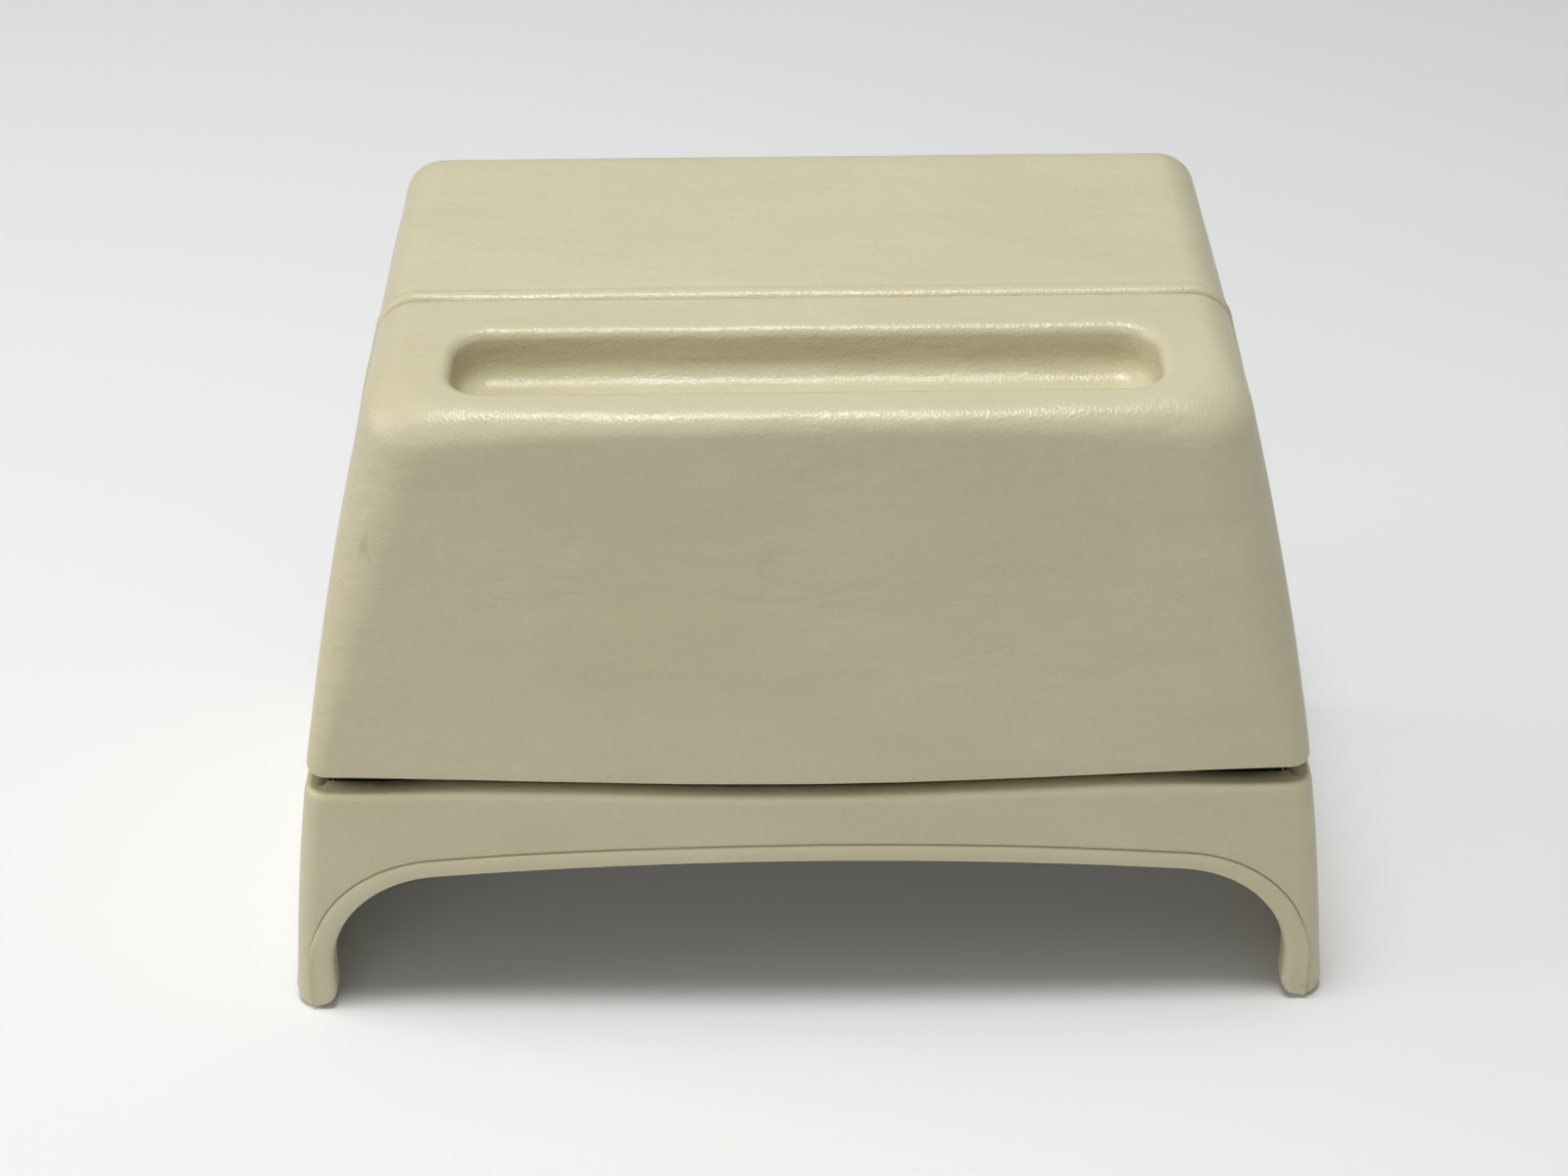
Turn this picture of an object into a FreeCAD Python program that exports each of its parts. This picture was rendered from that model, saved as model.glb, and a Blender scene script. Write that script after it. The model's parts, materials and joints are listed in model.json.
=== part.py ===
"""Console end piece with a tilt-out ash bin.

A moulded surround stands on two feet and straddles a tunnel arch. Its front, with the finger groove in the top,
carries a bin and tilts out about two pins near its lower edge.

Millimetres. +Z is up, the front faces -Y, and the origin is the bottom centre of the whole piece.
"""

import FreeCAD
import Part

import math
import os

import Sketcher

DRIVING_SIZES = {
    # outer form
    "foot_width": 150.0,  # across the two feet
    "shoulder_width": 115.8,  # across the rounded top corners
    "body_height": 101.0,
    "body_depth": 72.0,  # back to the front's upright edges
    "front_crown": 1.7,  # how far the front's middle stands before those edges
    "side_radius": 581.0,  # the sides' curve, from the feet to the top corners
    "top_corner_radius": 6.0,
    "front_edge_radius": 5.8,
    "skin_thickness": 1.2,
    "moulding_wall": 2.3,
    "hem": 1.0,  # how far the mouldings stop short of the skins' edges, which wrap over them
    # where the tilting front parts from the surround
    "seam_setback": 42.0,  # from the back
    "seam_gap": 0.4,
    "front_low_edge": 42.3,
    "running_gap": 1.8,
    "heel_radius": 1.7,
    # hinge line
    "ear_play": 0.44,  # between the housing's ears and the moving front's wall
    "pivot_rise": 16.0,  # above the front's lower edge
    # finger groove
    "groove_setback": 51.0,  # from the back to its far wall
    "groove_width": 15.0,
    "groove_length": 92.0,
    "groove_depth": 7.5,
    "groove_corner_radius": 5.0,
    "groove_floor_radius": 3.0,
    # tunnel arch and its edge trim
    "arch_rise": 28.0,
    "arch_half_span": 68.6,
    "arch_corner_radius": 18.0,
    "arch_bow_radius": 486.0,
    "trim_width": 3.3,
    "trim_depth": 4.5,
    # bin cradle
    "bin_half_width": 47.0,
    "bin_radius": 44.5,  # rear wall, about the hinge line
    "bin_wall": 1.8,
    "bin_drop": 14.0,  # underside, below the hinge line
    "bin_nose": 4.0,  # how far its sides reach before the hinge line
    "bin_front_wall": 1.6,
    "bin_front_set": 1.0,  # front wall, behind the hinge line
    "mouth_reach": 50.0,  # mouth plane: distance behind plus distance above the hinge line
    "slope_rise": 12.5,  # front slope: height above the hinge line, at the line itself
    # ash pan
    "pan_sheet": 0.8,
    "pan_side_play": 0.4,
    "pan_front_set": 4.8,
    "pan_drop": 11.0,
    "pan_rear_play": 0.6,
    "rim_overlap": 1.6,
    "bar_depth": 6.0,  # the snuffer bar, front to back
    "rest_notch_radius": 4.0,
    "rest_notch_spread": 26.0,
    "pan_clip_set": 11.0,  # spring clip under the pan, behind the hinge line
    "pan_clip_play": 0.3,
    # bin housing
    "housing_play": 1.2,
    "housing_wall": 2.0,
    "housing_floor_drop": 18.3,  # top of its floor, below the hinge line
    "housing_rear_set": 48.2,  # rear wall's inner face, behind the hinge line
    "housing_tail": 9.0,  # side plates behind the rear wall
    "housing_top_rise": 31.7,  # top of the rear wall, above the hinge line
    "housing_fit": 0.3,  # between its floor and the surround
    "ear_radius": 4.0,
    "cheek_height": 12.0,  # side plates, above the hinge line at their front
    "shoulder_set": 14.0,  # where their top edge steps up, behind the hinge line
    "shoulder_height": 23.0,
    # pivots and stops
    "pin_radius": 1.5,
    "pin_head_radius": 2.8,
    "pin_head_height": 1.0,
    "bush_radius": 2.6,
    "bush_flange_radius": 3.6,
    "bush_flange": 0.7,
    "bush_play": 0.05,
    "clip_radius": 3.2,
    "clip_thickness": 0.7,
    "clip_play": 0.35,
    "tilt_range": 45.0,  # degrees
    "stop_radius": 32.0,
    "stop_angle": 50.0,  # degrees above level, behind the hinge line
    "stop_play": 0.3,
    "buffer_radius": 4.0,
    "buffer_play": 0.3,
    "buffer_spread": 30.0,
    "buffer_set": 30.0,  # behind the hinge line
    # small hardware
    "screw_radius": 1.3,
    "screw_head_radius": 2.7,
    "screw_head_height": 1.6,
    "boss_radius": 3.5,
    "cap_screw_spread": 30.0,
    "ledge_spread": 40.0,
    "pillar_spread": 30.0,
    "pillar_step": 6.0,  # carrier pillars, above and below the hinge line
    "ledge_step": 4.0,  # thickness of the ledges that the housing's floor posts stand on
    "post_height": 2.5,  # floor posts, under the housing's floor
    "rivet_radius": 1.5,
    "rivet_head_radius": 2.8,
    "rivet_head_height": 0.9,
    "spring_sheet": 0.4,
    "spring_width": 14.0,
    "spring_play": 0.3,  # drag spring's crest, clear of the cradle
    "spring_rise": 20.0,  # its top, above the hinge line
    "spring_bend": 6.0,
    "spring_tail": 5.0,
    # mounting brackets
    "bracket_sheet": 1.5,
    "bracket_reach": 8.0,
    "bracket_height": 26.0,
    "bracket_base": 48.0,
    "bracket_hole_radius": 2.1,
    "bracket_hole_pitch": 16.0,
}


class Size:
    """A number together with the spreadsheet expression that gives it."""

    def __init__(self, value, text):
        self.value = value
        self.text = text

    def __add__(self, other):
        other = sized(other)
        return Size(self.value + other.value, f"({self.text} + {other.text})")

    def __sub__(self, other):
        other = sized(other)
        return Size(self.value - other.value, f"({self.text} - {other.text})")

    def __mul__(self, other):
        other = sized(other)
        return Size(self.value * other.value, f"({self.text} * {other.text})")

    def __truediv__(self, other):
        other = sized(other)
        return Size(self.value / other.value, f"({self.text} / {other.text})")

    def __radd__(self, other):
        return sized(other) + self

    def __rsub__(self, other):
        return sized(other) - self

    def __rmul__(self, other):
        return sized(other) * self

    def __neg__(self):
        return Size(-self.value, f"(0 - {self.text})")


def sized(number):
    """A plain number as a Size; a Size as it is."""
    if isinstance(number, Size):
        return number
    return Size(float(number), f"({float(number)})")


def root(size):
    return Size(math.sqrt(size.value), f"sqrt({size.text})")


def sine(degrees):
    return Size(math.sin(math.radians(degrees.value)), f"sin({degrees.text})")


def cosine(degrees):
    return Size(math.cos(math.radians(degrees.value)), f"cos({degrees.text})")


doc = FreeCAD.newDocument("ConsoleAshBin")
sheet = doc.addObject("Spreadsheet::Sheet", "Sizes")
for row, (alias, number) in enumerate(DRIVING_SIZES.items(), start=1):
    sheet.set(f"A{row}", alias.replace("_", " "))
    sheet.set(f"B{row}", str(number))
    sheet.setAlias(f"B{row}", alias)
doc.recompute()


def size(alias):
    return Size(DRIVING_SIZES[alias], f"Sizes.{alias}")


# ---- building blocks ---------------------------------------------------------------------------


def bind(thing, field, value):
    thing.setExpression(field, sized(value).text)


def place(thing, x, y, z):
    """Puts a primitive's own base point at x, y, z."""
    thing.Placement.Base = FreeCAD.Vector(sized(x).value, sized(y).value, sized(z).value)
    bind(thing, "Placement.Base.x", x)
    bind(thing, "Placement.Base.y", y)
    bind(thing, "Placement.Base.z", z)


def block(name, low, high):
    """A box from its lowest corner to its highest."""
    made = doc.addObject("Part::Box", name)
    for field, start, end in zip(("Length", "Width", "Height"), low, high):
        bind(made, field, sized(end) - start)
    place(made, *low)
    return made


TURN_TO_AXIS = {
    "X": FreeCAD.Rotation(FreeCAD.Vector(0, 1, 0), 90),
    "Y": FreeCAD.Rotation(FreeCAD.Vector(1, 0, 0), -90),
    "Z": FreeCAD.Rotation(),
}


def rod(name, axis, start, length, radius):
    """A cylinder that runs from start along +X, +Y or +Z."""
    made = doc.addObject("Part::Cylinder", name)
    made.Placement.Rotation = TURN_TO_AXIS[axis]
    bind(made, "Radius", radius)
    bind(made, "Height", length)
    place(made, *start)
    return made


def combine(kind, name, pieces):
    made = doc.addObject(kind, name)
    if kind == "Part::Compound":
        made.Links = pieces
    else:
        made.Shapes = pieces
    return made


def fuse(name, *pieces):
    return combine("Part::MultiFuse", name, list(pieces))


def common(name, *pieces):
    return combine("Part::MultiCommon", name, list(pieces))


def group(name, pieces):
    return combine("Part::Compound", name, list(pieces))


def cut(name, base, *tools):
    """base with every tool taken away."""
    made = doc.addObject("Part::Cut", name)
    made.Base = base
    made.Tool = tools[0] if len(tools) == 1 else fuse(name + "_tools", *tools)
    return made


def mirrored(name, source):
    """The same piece on the other side of the middle plane."""
    made = doc.addObject("Part::Mirroring", name)
    made.Source = source
    made.Normal = FreeCAD.Vector(1, 0, 0)
    return made


def add_segment(sketch, start, end, radius):
    """A straight or arc segment that runs from start to end; an arc curves round a centre on its left."""
    x0, y0, x1, y1 = (value.value for value in (*start, *end))
    if radius is None:
        line = Part.LineSegment(FreeCAD.Vector(x0, y0, 0), FreeCAD.Vector(x1, y1, 0))
        return sketch.addGeometry(line)
    chord = math.hypot(x1 - x0, y1 - y0)
    rise = math.sqrt(radius.value**2 - chord**2 / 4)
    centre_x = (x0 + x1) / 2 - (y1 - y0) / chord * rise
    centre_y = (y0 + y1) / 2 + (x1 - x0) / chord * rise
    circle = Part.Circle(FreeCAD.Vector(centre_x, centre_y, 0), FreeCAD.Vector(0, 0, 1), radius.value)
    first = math.atan2(y0 - centre_y, x0 - centre_x)
    last = math.atan2(y1 - centre_y, x1 - centre_x)
    return sketch.addGeometry(Part.ArcOfCircle(circle, first, last))


def fix_point(sketch, segment, end, point):
    """Holds one end of a segment at a point whose two distances come from the sheet."""
    for kind, axis, value in (("DistanceX", -2, point[0]), ("DistanceY", -1, point[1])):
        if value.value == 0:
            sketch.addConstraint(Sketcher.Constraint("PointOnObject", segment, end, axis))
            continue
        number = sketch.addConstraint(Sketcher.Constraint(kind, -1, 1, segment, end, value.value))
        sketch.setExpression(f"Constraints[{number}]", value.text)


def new_sketch(body, plane, offset):
    sketch = body.newObject("Sketcher::SketchObject", body.Name + "_" + plane[:2])
    origin_plane = next(f for f in body.Origin.OriginFeatures if f.Role == plane)
    sketch.AttachmentSupport = (origin_plane, "")
    sketch.MapMode = "FlatFace"
    bind(sketch, "AttachmentOffset.Base.z", offset)
    return sketch


def draw_outline(sketch, outline):
    """A closed outline. Each entry is a point, or a point and the radius of the arc that leaves it."""
    points = [(sized(entry[0]), sized(entry[1])) for entry in outline]
    radii = [sized(entry[2]) if len(entry) > 2 else None for entry in outline]
    count = len(points)
    for i in range(count):
        add_segment(sketch, points[i], points[(i + 1) % count], radii[i])
    for i in range(count):
        sketch.addConstraint(Sketcher.Constraint("Coincident", i, 2, (i + 1) % count, 1))
        fix_point(sketch, i, 1, points[i])
        if radii[i] is not None:
            number = sketch.addConstraint(Sketcher.Constraint("Radius", i, radii[i].value))
            sketch.setExpression(f"Constraints[{number}]", radii[i].text)


def prism(name, plane, outline, start, end):
    """An outline drawn in a plane and padded from start to end along X, Y or Z."""
    body = doc.addObject("PartDesign::Body", name)
    offset = -sized(end) if plane == "XZ_Plane" else sized(start)
    sketch = new_sketch(body, plane, offset)
    draw_outline(sketch, outline)
    pad = body.newObject("PartDesign::Pad", name + "_pad")
    pad.Profile = sketch
    bind(pad, "Length", sized(end) - start)
    return body


def upright(name, outline, front, back):
    """An outline seen from the front, as X and Z, between two places along Y."""
    return prism(name, "XZ_Plane", outline, front, back)


def sideways(name, outline, half_width):
    """An outline seen from the side, as Y and Z, half_width each way along X."""
    return prism(name, "YZ_Plane", outline, -half_width, half_width)


def round_edges(body, name, radius, chosen):
    """Rounds the edges of a body's last feature that chosen() picks."""
    doc.recompute()
    base = body.Tip
    edges = [f"Edge{i}" for i, edge in enumerate(base.Shape.Edges, start=1) if chosen(edge)]
    fillet = body.newObject("PartDesign::Fillet", name)
    fillet.Base = (base, edges)
    bind(fillet, "Radius", radius)
    return fillet


SUBPARTS = {}


def subpart(name, thing):
    """Gives a finished piece its name."""
    thing.Label = name
    SUBPARTS[name] = thing
    return thing


# ---- shared places -----------------------------------------------------------------------------

half_foot = size("foot_width") / 2
back = (size("body_depth") + size("front_crown")) / 2
front = back - size("body_depth")
apex = front - size("front_crown")
top = size("body_height")
seam = back - size("seam_setback")
low_edge = size("front_low_edge")
sill = low_edge - size("running_gap")
pivot_z = low_edge + size("pivot_rise")
skin = size("skin_thickness")
shell = skin + size("moulding_wall")
bin_half = size("bin_half_width")
housing_inside = bin_half + size("housing_play")
housing_outside = housing_inside + size("housing_wall")
crown_radius = (half_foot * half_foot + size("front_crown") * size("front_crown")) / (2 * size("front_crown"))
CLEAR = 5.0  # how far cutting tools run past what they cut
ROOTED = 0.8  # how far a moulded post runs into the wall that it stands on
SHORT = 0.5  # how far a screw stops short of the far side of what it holds
DIAGONAL = math.sqrt(2.0)  # a length at 45 degrees, per millimetre along Y or Z


def crown_at(x):
    """The front face's place along Y at a distance x from the middle."""
    return apex + crown_radius - root(crown_radius * crown_radius - sized(x) * x)


pivot_y = crown_at(housing_outside) + shell + size("ear_radius") + size("ear_play")
seam_radius = seam - pivot_y


def about_pivot(behind, above):
    """A side-view point, from its distances behind and above the hinge line."""
    return (pivot_y + behind, pivot_z + above)


def beside(radius, level):
    """How far behind the hinge line a circle about it stands, at a level above it."""
    return root(sized(radius) * radius - sized(level) * level)


# ---- outer form --------------------------------------------------------------------------------


top_corner = size("top_corner_radius")
corner_x = size("shoulder_width") / 2 - top_corner
corner_z = top - top_corner
side_radius = size("side_radius")
# The sides' arc touches the top corner's circle from outside and comes down to the foot's outer edge.
apart = side_radius - top_corner
across = half_foot - corner_x
span = root(across * across + corner_z * corner_z)
along = (apart * apart - side_radius * side_radius + span * span) / (2 * span)
aside = root(apart * apart - along * along)
side_centre_x = corner_x + (across * along - corner_z * aside) / span
side_centre_z = corner_z - (corner_z * along + across * aside) / span


def outer_form(name, inset, behind):
    """The whole outer form, pulled in by inset on the sides, top and front, and run past the back by behind."""
    rounding = top_corner - inset
    side = side_radius - inset
    shoulder_x = corner_x + rounding * (corner_x - side_centre_x) / apart
    shoulder_z = corner_z + rounding * (corner_z - side_centre_z) / apart
    foot = side_centre_x + root(side * side - side_centre_z * side_centre_z)
    outline = [
        (foot, 0, side),
        (shoulder_x, shoulder_z, rounding),
        (corner_x, corner_z + rounding),
        (-corner_x, corner_z + rounding, rounding),
        (-shoulder_x, shoulder_z, side),
        (-foot, 0),
    ]
    body = upright(name, outline, apex + inset - CLEAR, back + behind)
    reach = half_foot + CLEAR
    crown = crown_at(reach) + inset
    before = apex + inset - 2 * CLEAR
    sketch = new_sketch(body, "XY_Plane", 0)
    face = [(-reach, crown, crown_radius), (reach, crown), (reach, before), (-reach, before)]
    draw_outline(sketch, face)
    pocket = body.newObject("PartDesign::Pocket", name + "_crown")
    pocket.Profile = sketch
    pocket.Reversed = True
    bind(pocket, "Length", top)
    limit = (front + inset).value + 0.01

    def on_front(edge):
        box = edge.BoundBox
        return box.YMax < limit and box.ZMax > low_edge.value

    round_edges(body, name + "_round", size("front_edge_radius") - inset, on_front)
    return body


outer = outer_form("outer_form", sized(0), sized(0))
skin_core = outer_form("skin_core", skin, sized(CLEAR))
outer_moulding = outer_form("moulding_form", skin, sized(0))
moulding_core = outer_form("moulding_core", shell, sized(CLEAR))


def below_pivot_side(radius, level, left, bottom_corner):
    """The side-view outline of everything before the seam and above a level."""
    drop = pivot_z - level
    return [
        *bottom_corner,
        (pivot_y + beside(radius, drop), level, radius),
        (pivot_y + radius, pivot_z),
        (pivot_y + radius, top + CLEAR),
        (left, top + CLEAR),
    ]


zone_left = apex - 0.2
heel = size("heel_radius")
hem = size("hem")


def moving_part(name, pulled_in):
    """What tilts with the front, pulled in along the seam and the lower edge."""
    level = low_edge + pulled_in
    corner = [(zone_left, level + heel, heel), (zone_left + heel, level)]
    outline = below_pivot_side(seam_radius - pulled_in, level, zone_left, corner)
    return sideways(name, outline, half_foot + CLEAR)


def surround_gap(name, pulled_in):
    """What the surround leaves free for the front, its own edges pulled in."""
    level = sill - pulled_in
    outline = below_pivot_side(
        seam_radius + size("seam_gap") + pulled_in, level, apex - CLEAR, [(apex - CLEAR, level)]
    )
    return sideways(name, outline, half_foot + CLEAR)


front_skin_zone = moving_part("front_skin_zone", sized(0))
carrier_zone = moving_part("carrier_zone", hem)
skin_gap = surround_gap("skin_gap", sized(0))
frame_gap = surround_gap("frame_gap", hem)

# ---- tunnel arch -------------------------------------------------------------------------------


def arch_form(name, grow, start, end):
    """The arch opening between two places along Y, grown all round."""
    span = size("arch_half_span") + grow
    corner = size("arch_corner_radius") + grow
    bow = size("arch_bow_radius") + grow
    centre_x = size("arch_half_span") - size("arch_corner_radius")
    bow_z = size("arch_rise") - size("arch_bow_radius")
    apart = size("arch_bow_radius") - size("arch_corner_radius")
    rise = root(apart * apart - centre_x * centre_x)
    centre_z = bow_z + rise
    blend_x = centre_x * bow / apart
    blend_z = bow_z + rise * bow / apart
    outline = [
        (span, -sized(CLEAR)),
        (span, centre_z, corner),
        (blend_x, blend_z, bow),
        (-blend_x, blend_z, corner),
        (-span, centre_z),
        (-span, -sized(CLEAR)),
    ]
    return upright(name, outline, start, end)


trim_back = front + size("trim_depth")
panel_arch = arch_form("panel_arch", size("trim_width"), apex - CLEAR, trim_back)
trim_inner = arch_form("trim_inner", sized(0), apex - 2 * CLEAR, trim_back + CLEAR)
trim_ring = cut("trim_ring", panel_arch, trim_inner)
subpart("arch_edge_trim", common("trim_clipped", trim_ring, outer))

# ---- finger groove -----------------------------------------------------------------------------


def groove_form(name, grow):
    """The finger groove's space, grown all round; it runs out through the top."""
    right = size("groove_length") / 2 + grow
    far = back - size("groove_setback") + grow
    near = back - size("groove_setback") - size("groove_width") - grow
    corner = size("groove_corner_radius") + grow
    floor = top - size("groove_depth") - grow
    outline = [
        (right - corner, near, corner),
        (right, near + corner),
        (right, far - corner, corner),
        (right - corner, far),
        (corner - right, far, corner),
        (-right, far - corner),
        (-right, near + corner, corner),
        (corner - right, near),
    ]
    body = prism(name, "XY_Plane", outline, floor, top + CLEAR)

    def on_floor(edge):
        return edge.BoundBox.ZMax < floor.value + 0.01

    round_edges(body, name + "_round", size("groove_floor_radius") + grow, on_floor)
    return body


groove = groove_form("groove", sized(0))
groove_skin = groove_form("groove_skin", skin)
groove_trough = groove_form("groove_trough", shell)

# ---- hardware places ---------------------------------------------------------------------------

bin_inside = bin_half - size("bin_wall")
housing_floor = pivot_z - size("housing_floor_drop")
housing_rear = pivot_y + size("housing_rear_set")
housing_back = housing_rear + size("housing_wall")
housing_end = housing_back + size("housing_tail")
housing_top = pivot_z + size("housing_top_rise")
cradle_front = pivot_y + size("bin_front_set")
cradle_front_inside = cradle_front + size("bin_front_wall")

# ---- screws and rivets -------------------------------------------------------------------------

DIRECTIONS = {"X": (1, 0, 0), "Y": (0, 1, 0), "Z": (0, 0, 1)}


def moved(point, axis, distance):
    return tuple(place_along + step * sized(distance) for place_along, step in zip(point, DIRECTIONS[axis]))


def screw(name, axis, seat, reach, heading):
    """A pan-head screw: its head rests at seat, and its shank runs reach along the axis, forwards or backwards.

    Its shank is handed back too, to drill the pieces that it passes through.
    """
    head_height = size("screw_head_height")
    if heading > 0:
        shank_start = seat
        head_start = moved(seat, axis, -head_height)
    else:
        shank_start = moved(seat, axis, -sized(reach))
        head_start = seat
    head = rod(name + "_head", axis, head_start, head_height, size("screw_head_radius"))
    shank = rod(name + "_shank", axis, shank_start, reach, size("screw_radius"))
    return fuse(name, head, shank), shank


def rivet(name, axis, start, grip):
    """A rivet that grips sheets from start, grip thick, with two heads, and its shank to drill them."""
    head_height = size("rivet_head_height")
    near_head = moved(start, axis, -head_height)
    far_head = moved(start, axis, grip)
    near = rod(name + "_near", axis, near_head, head_height, size("rivet_head_radius"))
    far = rod(name + "_far", axis, far_head, head_height, size("rivet_head_radius"))
    shank = rod(name + "_shank", axis, start, grip, size("rivet_radius"))
    return fuse(name, near, far, shank), shank


SIDES = (("left", -1), ("right", 1))

# ---- surround: skin and moulded frame ----------------------------------------------------------

cap_screw_y = (housing_back + housing_end) / 2
cap_screw_x = size("cap_screw_spread")
ledge_x = size("ledge_spread")
ledge_y = crown_at(ledge_x) + shell + size("boss_radius")
ledge_high = housing_floor - size("housing_wall") - size("post_height")
ledge_low = ledge_high - size("ledge_step")
cap_underside = top - shell
boss = size("boss_radius")

cap_screws = []
cap_holes = []
ledge_screws = []
ledge_holes = []
bosses = []
for side, sign in SIDES:
    cap_seat = (sign * cap_screw_x, cap_screw_y, housing_top - size("housing_wall"))
    made, hole = screw(side + "_cap_screw", "Z", cap_seat, cap_underside - housing_top, 1)
    cap_screws.append(made)
    cap_holes.append(hole)
    post_height = cap_underside + ROOTED - housing_top
    bosses.append(rod(side + "_cap_post", "Z", (cap_seat[0], cap_screw_y, housing_top), post_height, boss))
    ledge_seat = (sign * ledge_x, ledge_y, ledge_low)
    made, hole = screw(side + "_ledge_screw", "Z", ledge_seat, housing_floor - ledge_low - SHORT, 1)
    ledge_screws.append(made)
    ledge_holes.append(hole)
    bosses.append(rod(side + "_ledge", "Z", ledge_seat, ledge_high - ledge_low, boss + ROOTED))

skin_shell = cut("skin_shell", outer, skin_core)
subpart("surround_skin", cut("surround_skin_open", skin_shell, skin_gap, panel_arch))

frame_shell = cut("frame_shell", outer_moulding, moulding_core)
frame_open = cut("frame_open", frame_shell, frame_gap, panel_arch)
frame_bossed = fuse("frame_bossed", frame_open, *bosses)
subpart("surround_frame", cut("surround_frame_drilled", frame_bossed, *cap_holes, *ledge_holes))

# ---- tilting front: skin and moulded carrier ---------------------------------------------------

pillar_x = size("pillar_spread")
pillar_root = crown_at(pillar_x) + shell
pillar_levels = (("low", pivot_z - size("pillar_step")), ("high", pivot_z + size("pillar_step")))
pillars = []
cradle_screws = []
cradle_holes = []
for side, sign in SIDES:
    for level_name, level in pillar_levels:
        name = f"{side}_{level_name}_cradle_screw"
        seat = (sign * pillar_x, cradle_front_inside, level)
        made, hole = screw(name, "Y", seat, cradle_front_inside - pillar_root - SHORT, -1)
        cradle_screws.append(made)
        cradle_holes.append(hole)
        pillar_start = (sign * pillar_x, pillar_root - ROOTED, level)
        pillars.append(rod(name + "_pillar", "Y", pillar_start, cradle_front - pillar_root + ROOTED, boss))

groove_lining = common("groove_lining", groove_skin, outer)
front_skin_shell = fuse("front_skin_shell", cut("front_skin_wall", outer, skin_core), groove_lining)
front_skin_cut = cut("front_skin_cut", front_skin_shell, groove)
subpart("front_skin", common("front_skin_clipped", front_skin_cut, front_skin_zone))

trough = common("trough", groove_trough, outer_moulding)
carrier_shell = fuse("carrier_shell", cut("carrier_wall", outer_moulding, moulding_core), trough)
carrier_grooved = cut("carrier_grooved", carrier_shell, groove_skin)
carrier_clipped = common("carrier_clipped", carrier_grooved, carrier_zone)
carrier_pillared = fuse("carrier_pillared", carrier_clipped, *pillars)
subpart("front_carrier", cut("front_carrier_drilled", carrier_pillared, *cradle_holes))
subpart("cradle_screws", group("cradle_screw_set", cradle_screws))

# ---- pivots, clips and travel stops ------------------------------------------------------------

pin_start = bin_inside - size("pin_head_height")
clip_start = housing_outside + size("clip_play")
pin_end = clip_start + size("clip_thickness") + size("clip_play")
stop_y = pivot_y + size("stop_radius") * cosine(size("stop_angle"))
stop_z = pivot_z + size("stop_radius") * sine(size("stop_angle"))


def pivot_pin(name):
    head_start = (pin_start, pivot_y, pivot_z)
    head = rod(name + "_head", "X", head_start, size("pin_head_height"), size("pin_head_radius"))
    shank = rod(name + "_shank", "X", (pin_start, pivot_y, pivot_z), pin_end - pin_start, size("pin_radius"))
    return fuse(name, head, shank)


def pivot_bush(name):
    flange_start = housing_inside - size("bush_flange")
    flange_at = (flange_start, pivot_y, pivot_z)
    flange = rod(name + "_flange", "X", flange_at, size("bush_flange"), size("bush_flange_radius"))
    sleeve_start = (housing_inside, pivot_y, pivot_z)
    sleeve = rod(name + "_sleeve", "X", sleeve_start, size("housing_wall"), size("bush_radius"))
    bore_length = size("bush_flange") + size("housing_wall")
    bore = rod(name + "_bore", "X", flange_at, bore_length, size("pin_radius") + size("bush_play"))
    return cut(name, fuse(name + "_blank", flange, sleeve), bore)


def pivot_clip(name):
    clip_at = (clip_start, pivot_y, pivot_z)
    disc = rod(name + "_disc", "X", clip_at, size("clip_thickness"), size("clip_radius"))
    bore = rod(name + "_bore", "X", clip_at, size("clip_thickness"), size("pin_radius"))
    half_mouth = size("pin_radius") / DIAGONAL
    slot_low = (clip_start, pivot_y - size("clip_radius"), pivot_z - half_mouth)
    slot_high = (clip_start + size("clip_thickness"), pivot_y, pivot_z + half_mouth)
    return cut(name, disc, bore, block(name + "_mouth", slot_low, slot_high))


def stop_pin(name):
    tip = bin_inside + size("stop_play")
    shank = rod(name + "_shank", "X", (tip, stop_y, stop_z), housing_outside - tip, size("rivet_radius"))
    head_at = (housing_outside, stop_y, stop_z)
    head = rod(name + "_head", "X", head_at, size("rivet_head_height"), size("rivet_head_radius"))
    return fuse(name, shank, head)


right_pin = subpart("right_pivot_pin", pivot_pin("right_pin"))
subpart("left_pivot_pin", mirrored("left_pin", right_pin))
right_bush = subpart("right_pivot_bush", pivot_bush("right_bush"))
subpart("left_pivot_bush", mirrored("left_bush", right_bush))
right_clip = pivot_clip("right_clip")
subpart("pivot_clips", group("pivot_clip_pair", [right_clip, mirrored("left_clip", right_clip)]))
right_stop = stop_pin("right_stop")
subpart("travel_stop_pins", group("stop_pair", [right_stop, mirrored("left_stop", right_stop)]))

# ---- bin cradle --------------------------------------------------------------------------------

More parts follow.
